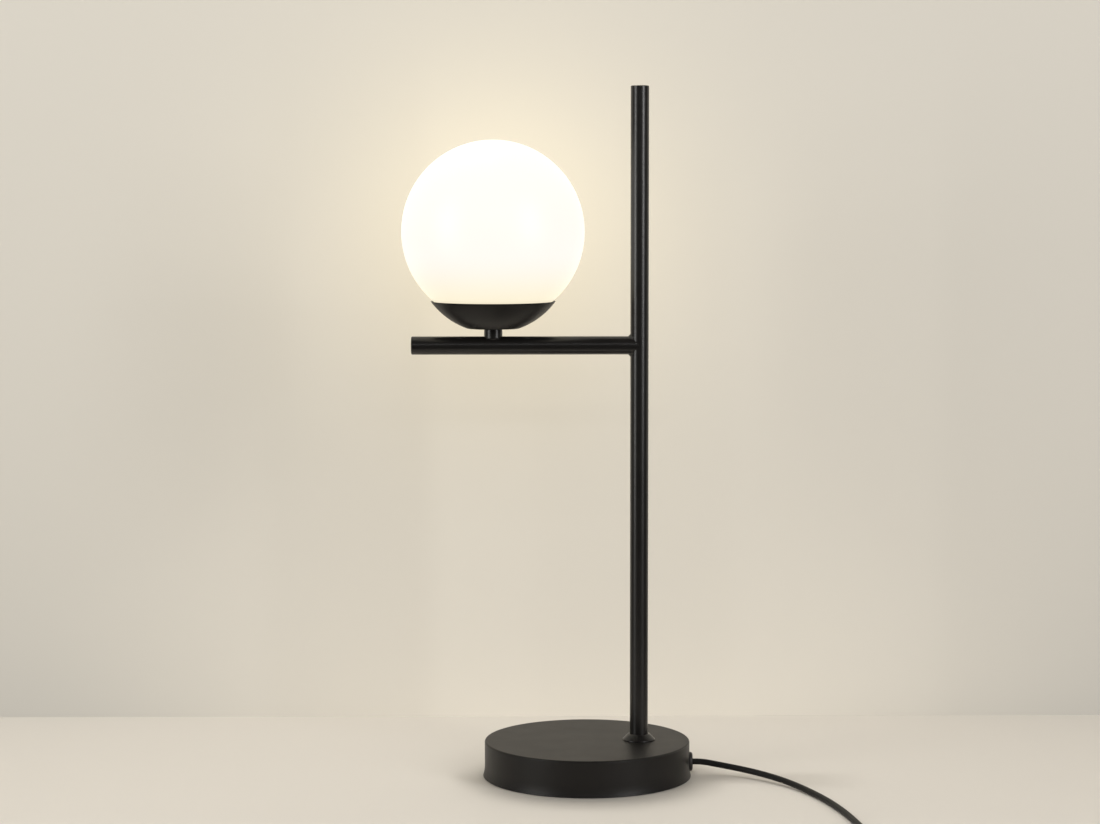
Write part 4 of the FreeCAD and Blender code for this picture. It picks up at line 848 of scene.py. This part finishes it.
@dataclass
class InlineSwitch:
    """Two housing halves with a rounded seam, and a rocker with its marks."""

    seam: float = 0.3 * MM
    rocker_edge: float = 0.3 * MM
    tilt: float = 10.0
    dish_height: float = 6.6 * MM
    dish_slope: float = 5.5
    mark_place: float = 3.9 * MM
    bar: tuple[float, float, float] = (0.7 * MM, 2.6 * MM, 0.4 * MM)
    bar_edge: float = 0.15 * MM
    ring_radius: float = 1.15 * MM
    ring_wire: float = 0.32 * MM
    ring_steps: int = 32
    wire_steps: int = 10

    def build(self, shop: Workshop) -> list[bpy.types.Object]:
        """Build the switch.

        Args:
            shop: Where it is made.

        Returns:
            The pieces that lie on the cord.
        """
        made = []
        for name, node in (("housing_top", "switch_upper"), ("housing_base", "switch_lower")):
            shape = packed_copy(node)
            soften(shape, self.seam)
            made.append(shop.piece(name, shape, HOUSING_PLASTIC, [node]))
        shape = packed_copy("switch_rocker")
        soften(shape, self.rocker_edge)
        made.append(
            shop.piece("rocker_cap", shape, ROCKER_PLASTIC, ["switch_rocker"], Body.ROCKER)
        )
        made.append(shop.piece("rocker_marks", self._marks(), MARK_PAINT, (), Body.ROCKER))
        return made

    def _marks(self) -> Shape:
        """Model the bar for on and the ring for off, laid on the two slopes of the rocker's top.

        Returns:
            Their shape.
        """
        slope = math.radians(self.dish_slope)
        rise = self.dish_height + self.mark_place * math.tan(slope)
        shape = bmesh.new()
        add_box(shape, (0, 0, 0), self.bar, self.bar_edge)
        on_end = Matrix.Translation((0.0, self.mark_place, rise)) @ Matrix.Rotation(slope, 4, "X")
        bmesh.ops.transform(shape, matrix=on_end, verts=shape.verts)
        circle = bmesh.ops.create_circle(shape, segments=self.wire_steps, radius=self.ring_wire)["verts"]
        upright = Matrix.Translation((self.ring_radius, 0, 0)) @ Matrix.Rotation(QUARTER_TURN, 4, "X")
        bmesh.ops.transform(shape, matrix=upright, verts=circle)
        full_spin(shape, circle + edges_of(circle), (0, 0, 1), self.ring_steps)
        ring = [vert for vert in shape.verts if vert.co.z < rise / 2]
        off_end = Matrix.Translation((0.0, -self.mark_place, rise)) @ Matrix.Rotation(-slope, 4, "X")
        bmesh.ops.transform(shape, matrix=off_end, verts=ring)
        low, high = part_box("rocker_pin")
        turned = Matrix.Translation((low + high) / 2) @ Matrix.Rotation(-math.radians(self.tilt), 4, "X")
        bmesh.ops.transform(shape, matrix=turned, verts=shape.verts)
        bmesh.ops.recalc_face_normals(shape, faces=shape.faces)
        return shape


@dataclass
class Plug:
    """Flat moulded plug with a ribbed grip on each broad side, and its strain relief."""

    # Distance from the plug's face, and the width and height there.
    stations: tuple[tuple[float, float, float], ...] = (
        (0.0, 35.3 * MM, 13.7 * MM), (4.5 * MM, 35.3 * MM, 13.7 * MM), (7.0 * MM, 35.3 * MM, 12.6 * MM),
        (16.0 * MM, 33.6 * MM, 12.5 * MM), (24.0 * MM, 26.5 * MM, 12.3 * MM),
        (31.0 * MM, 17.6 * MM, 11.8 * MM), (36.0 * MM, 14.0 * MM, 11.0 * MM),
    )
    corner: float = 4.4 * MM
    corner_facets: int = 6
    face_edge: float = 1.0 * MM
    face_facets: int = 3
    ribs: int = 5
    first_rib: float = 9.5 * MM
    rib_pitch: float = 3.0 * MM
    rib_size: tuple[float, float, float] = (1.5 * MM, 17.0 * MM, 1.4 * MM)
    rib_taper: float = 0.09
    rib_edge: float = 0.4 * MM
    bore: float = 2.5 * MM
    tip_wall: float = 1.0 * MM
    tip_share: float = 0.6
    root_wall: float = 2.7 * MM
    rings: int = 6
    ring_gap: float = 1.5 * MM
    ring_depth: float = 0.9 * MM
    ring_edge: float = 0.3 * MM
    ring_steps: int = 48
    mouth_depth: float = 3.0 * MM

    def build(self, shop: Workshop) -> list[bpy.types.Object]:
        """Build the plug.

        Args:
            shop: Where it is made.

        Returns:
            The pieces that lie on the cord.
        """
        body = shop.piece("plug_moulding", self._body(), SATIN_RUBBER, ["plug_body"])
        relief = shop.piece("ribbed_relief", self._relief(), SATIN_RUBBER, ["plug_relief"])
        return [body, relief] + [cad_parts[name] for name in ("plug_pins", "pin_sleeves")]

    @staticmethod
    def _seated(shape: Shape, node: str) -> Shape:
        """Move a shape from the origin to the near end of a node, on its axis.

        Args:
            shape: The shape.
            node: The node that it stands for.

        Returns:
            The shape.
        """
        low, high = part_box(node)
        middle = (low + high) / 2
        bmesh.ops.translate(shape, verts=shape.verts, vec=(low.x, middle.y, middle.z))
        return shape

    def _body(self) -> Shape:
        """Model the body: a bar cut at each station, swelled there, and rounded.

        Returns:
            Its shape.
        """
        length = self.stations[-1][0]
        shape = bmesh.new()
        bmesh.ops.create_cube(shape, size=1.0)
        bmesh.ops.scale(shape, verts=shape.verts, vec=(length, 1.0, 1.0))
        bmesh.ops.translate(shape, verts=shape.verts, vec=(length / 2, 0.0, 0.0))
        for along, _, _ in self.stations[1:-1]:
            cut_across(shape, 0, along)
        for along, width, height in self.stations:
            ring = [vert for vert in shape.verts if abs(vert.co.x - along) < NEAR]
            bmesh.ops.scale(shape, verts=ring, vec=(1.0, width, height))
        round_off(shape, [e for e in shape.edges if spans(e, 0)], self.corner, self.corner_facets)
        front = [e for e in shape.edges if all(v.co.x < NEAR for v in e.verts)]
        round_off(shape, front, self.face_edge, self.face_facets, clamp=False)
        thickness, width, height = self.rib_size
        rise = (self.stations[0][2] - height) / 2
        for i in range(self.ribs):
            size = (thickness, width * (1.0 - self.rib_taper * i), height)
            for side in (-1, 1):
                place = (self.first_rib + i * self.rib_pitch, 0.0, side * rise)
                add_box(shape, place, size, self.rib_edge)
        return self._seated(shape, "plug_body")

    def _relief(self) -> Shape:
        """Model the strain relief: a ribbed taper, bored at its tip for the cord.

        Returns:
            Its shape.
        """
        low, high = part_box("plug_relief")
        length = high.x - low.x
        pitch = length / self.rings
        profile = [(0.0, 0.0)]
        for i in range(self.rings):
            start, end = i * pitch, (i + 1) * pitch - self.ring_gap
            share = (start + end) / 2 / length
            crest = self.bore + self.root_wall + (self.tip_wall - self.root_wall) * share
            core, edge = crest - self.ring_depth, self.ring_edge
            profile += [(start, core), (start, crest - edge), (start + edge, crest)]
            profile += [(end - edge, crest), (end, crest - edge), (end, core)]
        tip = self.bore + self.tip_share * self.tip_wall
        bottom = length - self.mouth_depth
        profile += [(length, tip), (length, self.bore), (bottom, self.bore), (bottom, 0.0)]
        return self._seated(spun(profile, self.ring_steps), "plug_relief")


@dataclass
class Tie:
    """Woven strap round the coil, with its loose end laid back over the top."""

    thickness: float = 0.5 * MM
    corner: float = 1.6 * MM
    corner_facets: int = 6
    edge: float = 0.15 * MM
    edge_facets: int = 2
    edge_angle: float = 50.0
    end_length: float = 13.0 * MM
    end_shift: float = 1 / 6

    def build(self, shop: Workshop) -> bpy.types.Object:
        """Build the strap.

        Args:
            shop: Where it is made.

        Returns:
            The strap.
        """
        low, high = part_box("coil_tie")
        size, middle = high - low, (low + high) / 2
        shape = bmesh.new()
        bmesh.ops.create_cube(shape, size=1.0)
        bmesh.ops.scale(shape, verts=shape.verts, vec=size)
        open_sides = [face for face in shape.faces if round(abs(face.normal.y)) == 1]
        bmesh.ops.delete(shape, geom=open_sides, context="FACES")
        corners = [e for e in shape.edges if spans(e, 1)]
        round_off(shape, corners, self.corner, self.corner_facets, clamp=False)
        bmesh.ops.solidify(shape, geom=shape.faces[:], thickness=self.thickness)
        soften(shape, self.edge, self.edge_facets, self.edge_angle)
        bmesh.ops.translate(shape, verts=shape.verts, vec=middle)
        loose = (middle.x - size.x * self.end_shift, middle.y, high.z + self.thickness / 2)
        add_box(shape, loose, (self.end_length, size.y, self.thickness), self.edge)
        return shop.piece("woven_tie", shape, STRAP, ["coil_tie"])


# ---- Cords ----
@dataclass
class Cord:
    """A round cord on one smooth line."""

    name: str
    points: Sequence[Sequence[float]]
    diameter: float = CORD_DIAMETER
    round_steps: int = 10
    line_steps: int = 6

    def make(self, paint: Paintshop, nodes: Iterable[str]) -> bpy.types.Object:
        """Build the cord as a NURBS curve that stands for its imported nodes.

        Args:
            paint: Source of the sheath's material.
            nodes: The nodes that it stands for.

        Returns:
            The curve object.
        """
        curve = bpy.data.curves.new(self.name, "CURVE")
        curve.dimensions = "3D"
        curve.bevel_depth = self.diameter / 2
        curve.bevel_resolution = self.round_steps
        curve.resolution_u = self.line_steps
        curve.use_fill_caps = True
        spline = curve.splines.new("NURBS")
        spline.points.add(len(self.points) - 1)
        for point, place in zip(spline.points, self.points):
            point.co = (*place, 1.0)
        spline.order_u = 3
        spline.use_endpoint_u = True
        spline.use_smooth = True
        made = bpy.data.objects.new(self.name, curve)
        bpy.context.scene.collection.objects.link(made)
        curve.materials.append(paint.material(BLACK_SHEATH))
        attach(made, Body.LAMP.value)
        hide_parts(*nodes)
        LOG.info("%s: %d points", self.name, len(self.points))
        return made


def in_metres(points: Iterable[Sequence[float]]) -> list[tuple[float, ...]]:
    """Return points given in millimetres as metres."""
    return [tuple(v * MM for v in point) for point in points]


@dataclass
class Coil:
    """The put-away cord: turns that spiral in on the table and out again above."""

    start: tuple[float, float] = (136.0 * MM, -324.0 * MM)
    inner_radius: float = 21.25 * MM
    pitch: float = 5.5 * MM
    floor_height: float = 3.1 * MM
    lead_in: float = 5.0 * MM
    turns_in: float = 3.0
    turns_out: float = 3.25
    climb_turns: float = 0.5
    points_per_turn: int = 20

    @property
    def turns(self) -> float:
        """Number of turns in all."""
        return self.turns_in + self.turns_out

    def radius(self, turn: float) -> float:
        """Return the radius after so many turns."""
        return self.inner_radius + abs(turn - self.turns_in) * self.pitch

    def height(self, turn: float) -> float:
        """Return the height of the cord's middle, which climbs a layer where the spiral reverses.

        Args:
            turn: How far along, in turns.

        Returns:
            The height above the table.
        """
        share = (turn - self.turns_in) / self.climb_turns + 0.5
        climb = (1 - math.cos(math.pi * min(max(share, 0.0), 1.0))) / 2
        return self.floor_height + self.pitch * climb

    def lead(self, turn: float) -> float:
        """Return the angle by which the spiral leaves a circle after so many turns."""
        return math.atan(self.pitch / (FULL_TURN * self.radius(turn)))

    def angle(self, turn: float) -> float:
        """Work out the angle about the coil's middle, so that the cord comes and goes along the axes.

        Args:
            turn: How far along, in turns.

        Returns:
            The angle in radians.
        """
        first = -self.lead(0.0)
        last = QUARTER_TURN + self.lead(self.turns)
        return first + turn / self.turns * (FULL_TURN * math.floor(self.turns) + last - first)

    @property
    def middle(self) -> Vector:
        """Find the coil's middle from where the cord comes in.

        Returns:
            The middle, on the table.
        """
        angle, radius = self.angle(0.0), self.radius(0.0)
        x, y = self.start
        return Vector((x - radius * math.cos(angle), y + self.lead_in - radius * math.sin(angle), 0.0))

    def point(self, turn: float, swell: float = 1.0) -> Vector:
        """Return a point of the cord's line.

        Args:
            turn: How far along, in turns.
            swell: Share by which the radius is larger.

        Returns:
            The point.
        """
        angle, radius = self.angle(turn), self.radius(turn) * swell
        return self.middle + Vector((radius * math.cos(angle), radius * math.sin(angle), self.height(turn)))

    @property
    def end(self) -> Vector:
        """Where the coil lets go of the cord."""
        return self.point(self.turns) - Vector((self.lead_in, 0.0, 0.0))

    def points(self) -> list[tuple[float, ...]]:
        """Set out the control points, a little wide so that the smooth line has the coil's radius.

        Returns:
            The points, in order.
        """
        count = round(self.turns * self.points_per_turn)
        swell = 1 / math.cos(math.pi / self.points_per_turn)
        turns = [(i + 0.5) * self.turns / count for i in range(count)]
        return [tuple(self.point(turn, swell)) for turn in turns]


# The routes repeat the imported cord's, in millimetres.
INNER_ROUTE = [
    (87.7, 0.0, 11.3), (78.0, 0.0, 11.3), (69.0, -3.8, 11.5), (60.5, -10.5, 12.2), (51.5, -18.2, 13.1),
    (43.0, -25.0, 13.8), (33.0, -28.0, 13.8), (24.0, -28.0, 13.8),
]
LEAD_ROUTE = [
    (87.7, 0.0, 11.3), (95.5, 0.0, 11.3), (105.5, -1.6, 9.7), (116.5, -5.2, 8.3), (128.5, -11.3, 7.1),
    (141.5, -21.1, 6.0), (155.0, -35.2, 4.9), (168.0, -54.2, 3.7), (180.0, -78.8, 2.7), (190.5, -110.5, 2.5),
    (199.0, -149.4, 2.5), (204.2, -185.7, 2.5), (206.6, -214.0, 3.6), (207.0, -234.0, 6.5),
    (207.0, -254.0, 6.5),
]
BRIDGE_ROUTE = [
    (207.0, -324.0, 6.5), (207.0, -343.0, 6.5), (197.5, -359.5, 4.2), (181.0, -369.0, 2.7),
    (162.0, -369.0, 2.5), (145.5, -359.5, 2.6), (136.0, -343.0, 3.1), (136.0, -324.0, 3.1),
]
TAIL_STEPS = [(-13.0, 0.0, 0.0), (-26.0, -2.0, -0.8), (-39.0, -3.5, -1.75), (-52.0, -3.5, -1.75)]


@dataclass
class Cords:
    """The mains cord, from inside the base to the plug."""

    coil: Coil = field(default_factory=Coil)
    lead_length: float = 0.308
    mains_length: float = 1.368

    def build(self, paint: Paintshop, switch: list[bpy.types.Object], plug: list[bpy.types.Object]) -> None:
        """Args:
            paint: Source of the materials.
            switch: The switch's pieces. Not used.
            plug: The plug's and the tie's pieces. Not used.
        """
        Cord("sheathed_cord_in_base", in_metres(INNER_ROUTE)).make(paint, ["inner_cord"])
        lead = Cord("cord_to_switch", in_metres(LEAD_ROUTE)).make(paint, ["cord_lead"])
        tail = [tuple(self.coil.end + Vector(step) * MM) for step in TAIL_STEPS]
        route = in_metres(BRIDGE_ROUTE) + self.coil.points() + [tuple(self.coil.end)] + tail
        mains = Cord("cord_to_plug", route).make(paint, ["cord_bridge", "cord_coil", "cord_tail"])


# ---- Studio ----
def round_about(azimuth: float, reach: float, height: float) -> tuple[float, float, float]:
    """Find a place round the lamp.

    Args:
        azimuth: Degrees from the viewer's side.
        reach: Distance from the lamp's axis.
        height: Height above the table.

    Returns:
        The place.
    """
    turn = math.radians(azimuth)
    return (reach * math.sin(turn), -reach * math.cos(turn), height)


@dataclass(frozen=True)
class AreaLamp:
    """A rectangular lamp of the studio. Its power is in watts, and glossy surfaces mirror it or not."""

    name: str
    place: tuple[float, float, float]
    aim: tuple[float, float, float]
    size: tuple[float, float]
    power: float
    tint: Colour = (1.0, 1.0, 1.0)
    mirrored: bool = False

    def hang(self) -> bpy.types.Object:
        """Hang the lamp.

        Returns:
            The lamp's object.
        """
        light = bpy.data.lights.new(self.name, "AREA")
        light.shape = "RECTANGLE"
        light.size, light.size_y = self.size
        light.energy = self.power
        light.color = self.tint
        made = bpy.data.objects.new(self.name, light)
        made.location = self.place
        way = Vector(self.aim) - Vector(self.place)
        made.rotation_euler = way.to_track_quat("-Z", "Y").to_euler()
        made.visible_camera = False
        made.visible_glossy = self.mirrored
        bpy.context.scene.collection.objects.link(made)
        return made


SOFT_WHITE = (1.0, 0.99, 0.98)
WARM_WHITE = (1.0, 0.99, 0.96)
MIDDLE = (0.0, 0.0, 0.30)
MIRRORED_LAMPS = (
    AreaLamp("left_softbox", round_about(-58.0, 1.7, 0.66), MIDDLE, (0.56, 1.25), 12.0, WARM_WHITE, True),
    AreaLamp("right_softbox", round_about(46.0, 1.7, 0.78), MIDDLE, (0.50, 1.15), 14.0, SOFT_WHITE, True),
    AreaLamp("front_softbox", round_about(0.0, 2.7, 1.22), MIDDLE, (1.8, 0.12), 3.0, SOFT_WHITE, True),
)
FILL_LAMPS = (
    AreaLamp("wall_fill", (0.0, -3.2, 1.6), (0.0, 0.2, 0.35), (2.4, 1.8), 24.0),
    AreaLamp("top_softbox", (-0.35, 0.06, 2.0), (0.0, 0.05, 0.0), (0.14, 0.14), 17.0),
)


@dataclass
class Studio:
    """Table, wall, air, lamps and camera."""

    wall_y: float = 0.246
    sheet_half: float = 4.0
    table_colour: Colour = shown(212, 206, 196)
    table_roughness: float = 0.6
    table_gloss: float = 0.3
    dark_colour: Colour = (0.03, 0.03, 0.03)
    dark_reach: tuple[float, float] = (0.20, 0.60)
    fade_reach: tuple[float, float] = (0.80, 2.20)
    wall_colour: Colour = shown(229, 223, 211)
    wall_roughness: float = 0.8
    air: Colour = (0.62, 0.60, 0.57)
    air_strength: float = 0.06
    glow_size: tuple[float, float] = (0.12, 0.12)
    glow_power: float = 0.125
    glow_tint: Colour = (1.0, 0.85, 0.46)
    glow_setback: float = 0.55
    focal_pixels: float = 2678.8
    frame_width: float = 1100.0
    sensor: float = 36.0
    camera_place: tuple[float, float, float] = (-0.0434, -2.1951, 0.4940)
    camera_turn: tuple[float, float, float] = (85.036, 0.056, -0.341)

    def build(self) -> None:
        """Build everything round the lamp."""
        self._sheet("table_top", self._table(), self.wall_y - self.sheet_half, level=True)
        self._sheet("plain_wall", self._wall(), self.wall_y, level=False)
        self._air()
        self._lamps()
        self._camera()
        bpy.context.scene.view_settings.view_transform = "Standard"
        LOG.info("studio built")

    def _sheet(self, name: str, material: bpy.types.Material, middle_y: float, level: bool) -> None:
        """Make a large flat sheet of the studio.

        Args:
            name: Its name.
            material: Its material.
            middle_y: Place of its middle along Y.
            level: True for the table, False for the wall.
        """
        shape = bmesh.new()
        bmesh.ops.create_grid(shape, x_segments=1, y_segments=1, size=self.sheet_half)
        if not level:
            bmesh.ops.rotate(shape, verts=shape.verts, matrix=Matrix.Rotation(QUARTER_TURN, 3, "X"))
        bmesh.ops.translate(shape, verts=shape.verts, vec=(0.0, middle_y, 0.0))
        mesh = bpy.data.meshes.new(name)
        shape.to_mesh(mesh)
        shape.free()
        mesh.materials.append(material)
        made = bpy.data.objects.new(name, mesh)
        bpy.context.scene.collection.objects.link(made)

    def _table(self) -> bpy.types.Material:
        """Make the table's finish: pale, fading into the air far off, where it is dark to all but the camera.

        Returns:
            The material.
        """
        graph = Graph("pale_table")
        reach = graph.node("ShaderNodeVectorMath", {"operation": "LENGTH"}, {0: graph.place()}, out="Value")
        unseen = 1.0 - graph.node("ShaderNodeLightPath", out="Is Camera Ray")
        darkness = graph.smooth_step(reach, *self.dark_reach) * unseen
        table = graph.shader(
            Base_Color=graph.mix(darkness, self.table_colour, self.dark_colour),
            Roughness=self.table_roughness,
            Specular_IOR_Level=self.table_gloss,
        )
        clear = graph.node("ShaderNodeBsdfTransparent")
        return graph.surface(graph.layered(graph.smooth_step(reach, *self.fade_reach), table, clear))

    def _wall(self) -> bpy.types.Material:
        """Make the wall's finish, which lets views from behind the wall through.

        Returns:
            The material.
        """
        graph = Graph("plain_plaster")
        behind = graph.node("ShaderNodeNewGeometry", out="Backfacing")
        plaster = graph.shader(Base_Color=self.wall_colour, Roughness=self.wall_roughness)
        return graph.surface(graph.layered(behind, plaster, graph.node("ShaderNodeBsdfTransparent")))

    def _air(self) -> None:
        """Light the air evenly, and show it paler where the camera sees it."""
        graph = Graph("studio_air", of_world=True)
        seen = graph.node("ShaderNodeLightPath", out="Is Camera Ray")
        lit = graph.node("ShaderNodeBackground", inputs={"Color": self.air, "Strength": self.air_strength})
        pale = graph.node("ShaderNodeBackground", inputs={"Color": self.wall_colour})
        bpy.context.scene.world = graph.surface(graph.layered(seen, lit, pale))

    def _lamps(self) -> None:
        """Hang the lamps.

        The lamps that the black coat mirrors cast no shadow of the globe, because a lit globe shows none. A
        lamp behind the globe stands for its own light on the wall.
        """
        lit = bpy.data.collections.new("lit_from_within")
        lit.objects.link(bpy.data.objects["glass_ball"])
        lit.collection_objects[0].light_linking.link_state = "EXCLUDE"
        for lamp in MIRRORED_LAMPS:
            lamp.hang().light_linking.blocker_collection = lit
        for lamp in FILL_LAMPS:
            lamp.hang()
        low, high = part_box("opal_globe")
        across = high.x - low.x
        x, z = (low.x + high.x) / 2, high.z - across / 2
        behind = (x, self.glow_setback * across, z)
        aim = (x, self.wall_y, z)
        AreaLamp("glow_on_wall", behind, aim, self.glow_size, self.glow_power, self.glow_tint).hang()

    def _camera(self) -> None:
        """Set the camera where the photograph was taken from, with its focal length."""
        data = bpy.data.cameras.new("camera")
        data.sensor_width = self.sensor
        data.lens = self.focal_pixels * self.sensor / self.frame_width
        camera = bpy.data.objects.new("camera", data)
        camera.location = self.camera_place
        camera.rotation_euler = tuple(math.radians(a) for a in self.camera_turn)
        bpy.context.scene.collection.objects.link(camera)
        bpy.context.scene.camera = camera


def main() -> None:
    """Build the looks of the lamp."""
    logging.basicConfig(level=logging.INFO, format="%(name)s: %(message)s")
    paint = Paintshop()
    paint.dress_nodes()
    shop = Workshop(paint)
    Head().build(shop)
    FootPad().build(shop)
    switch = InlineSwitch().build(shop)
    plug = Plug().build(shop) + [Tie().build(shop)]
    Cords().build(paint, switch, plug)
    Studio().build()


if __name__ == "__main__":
    main()
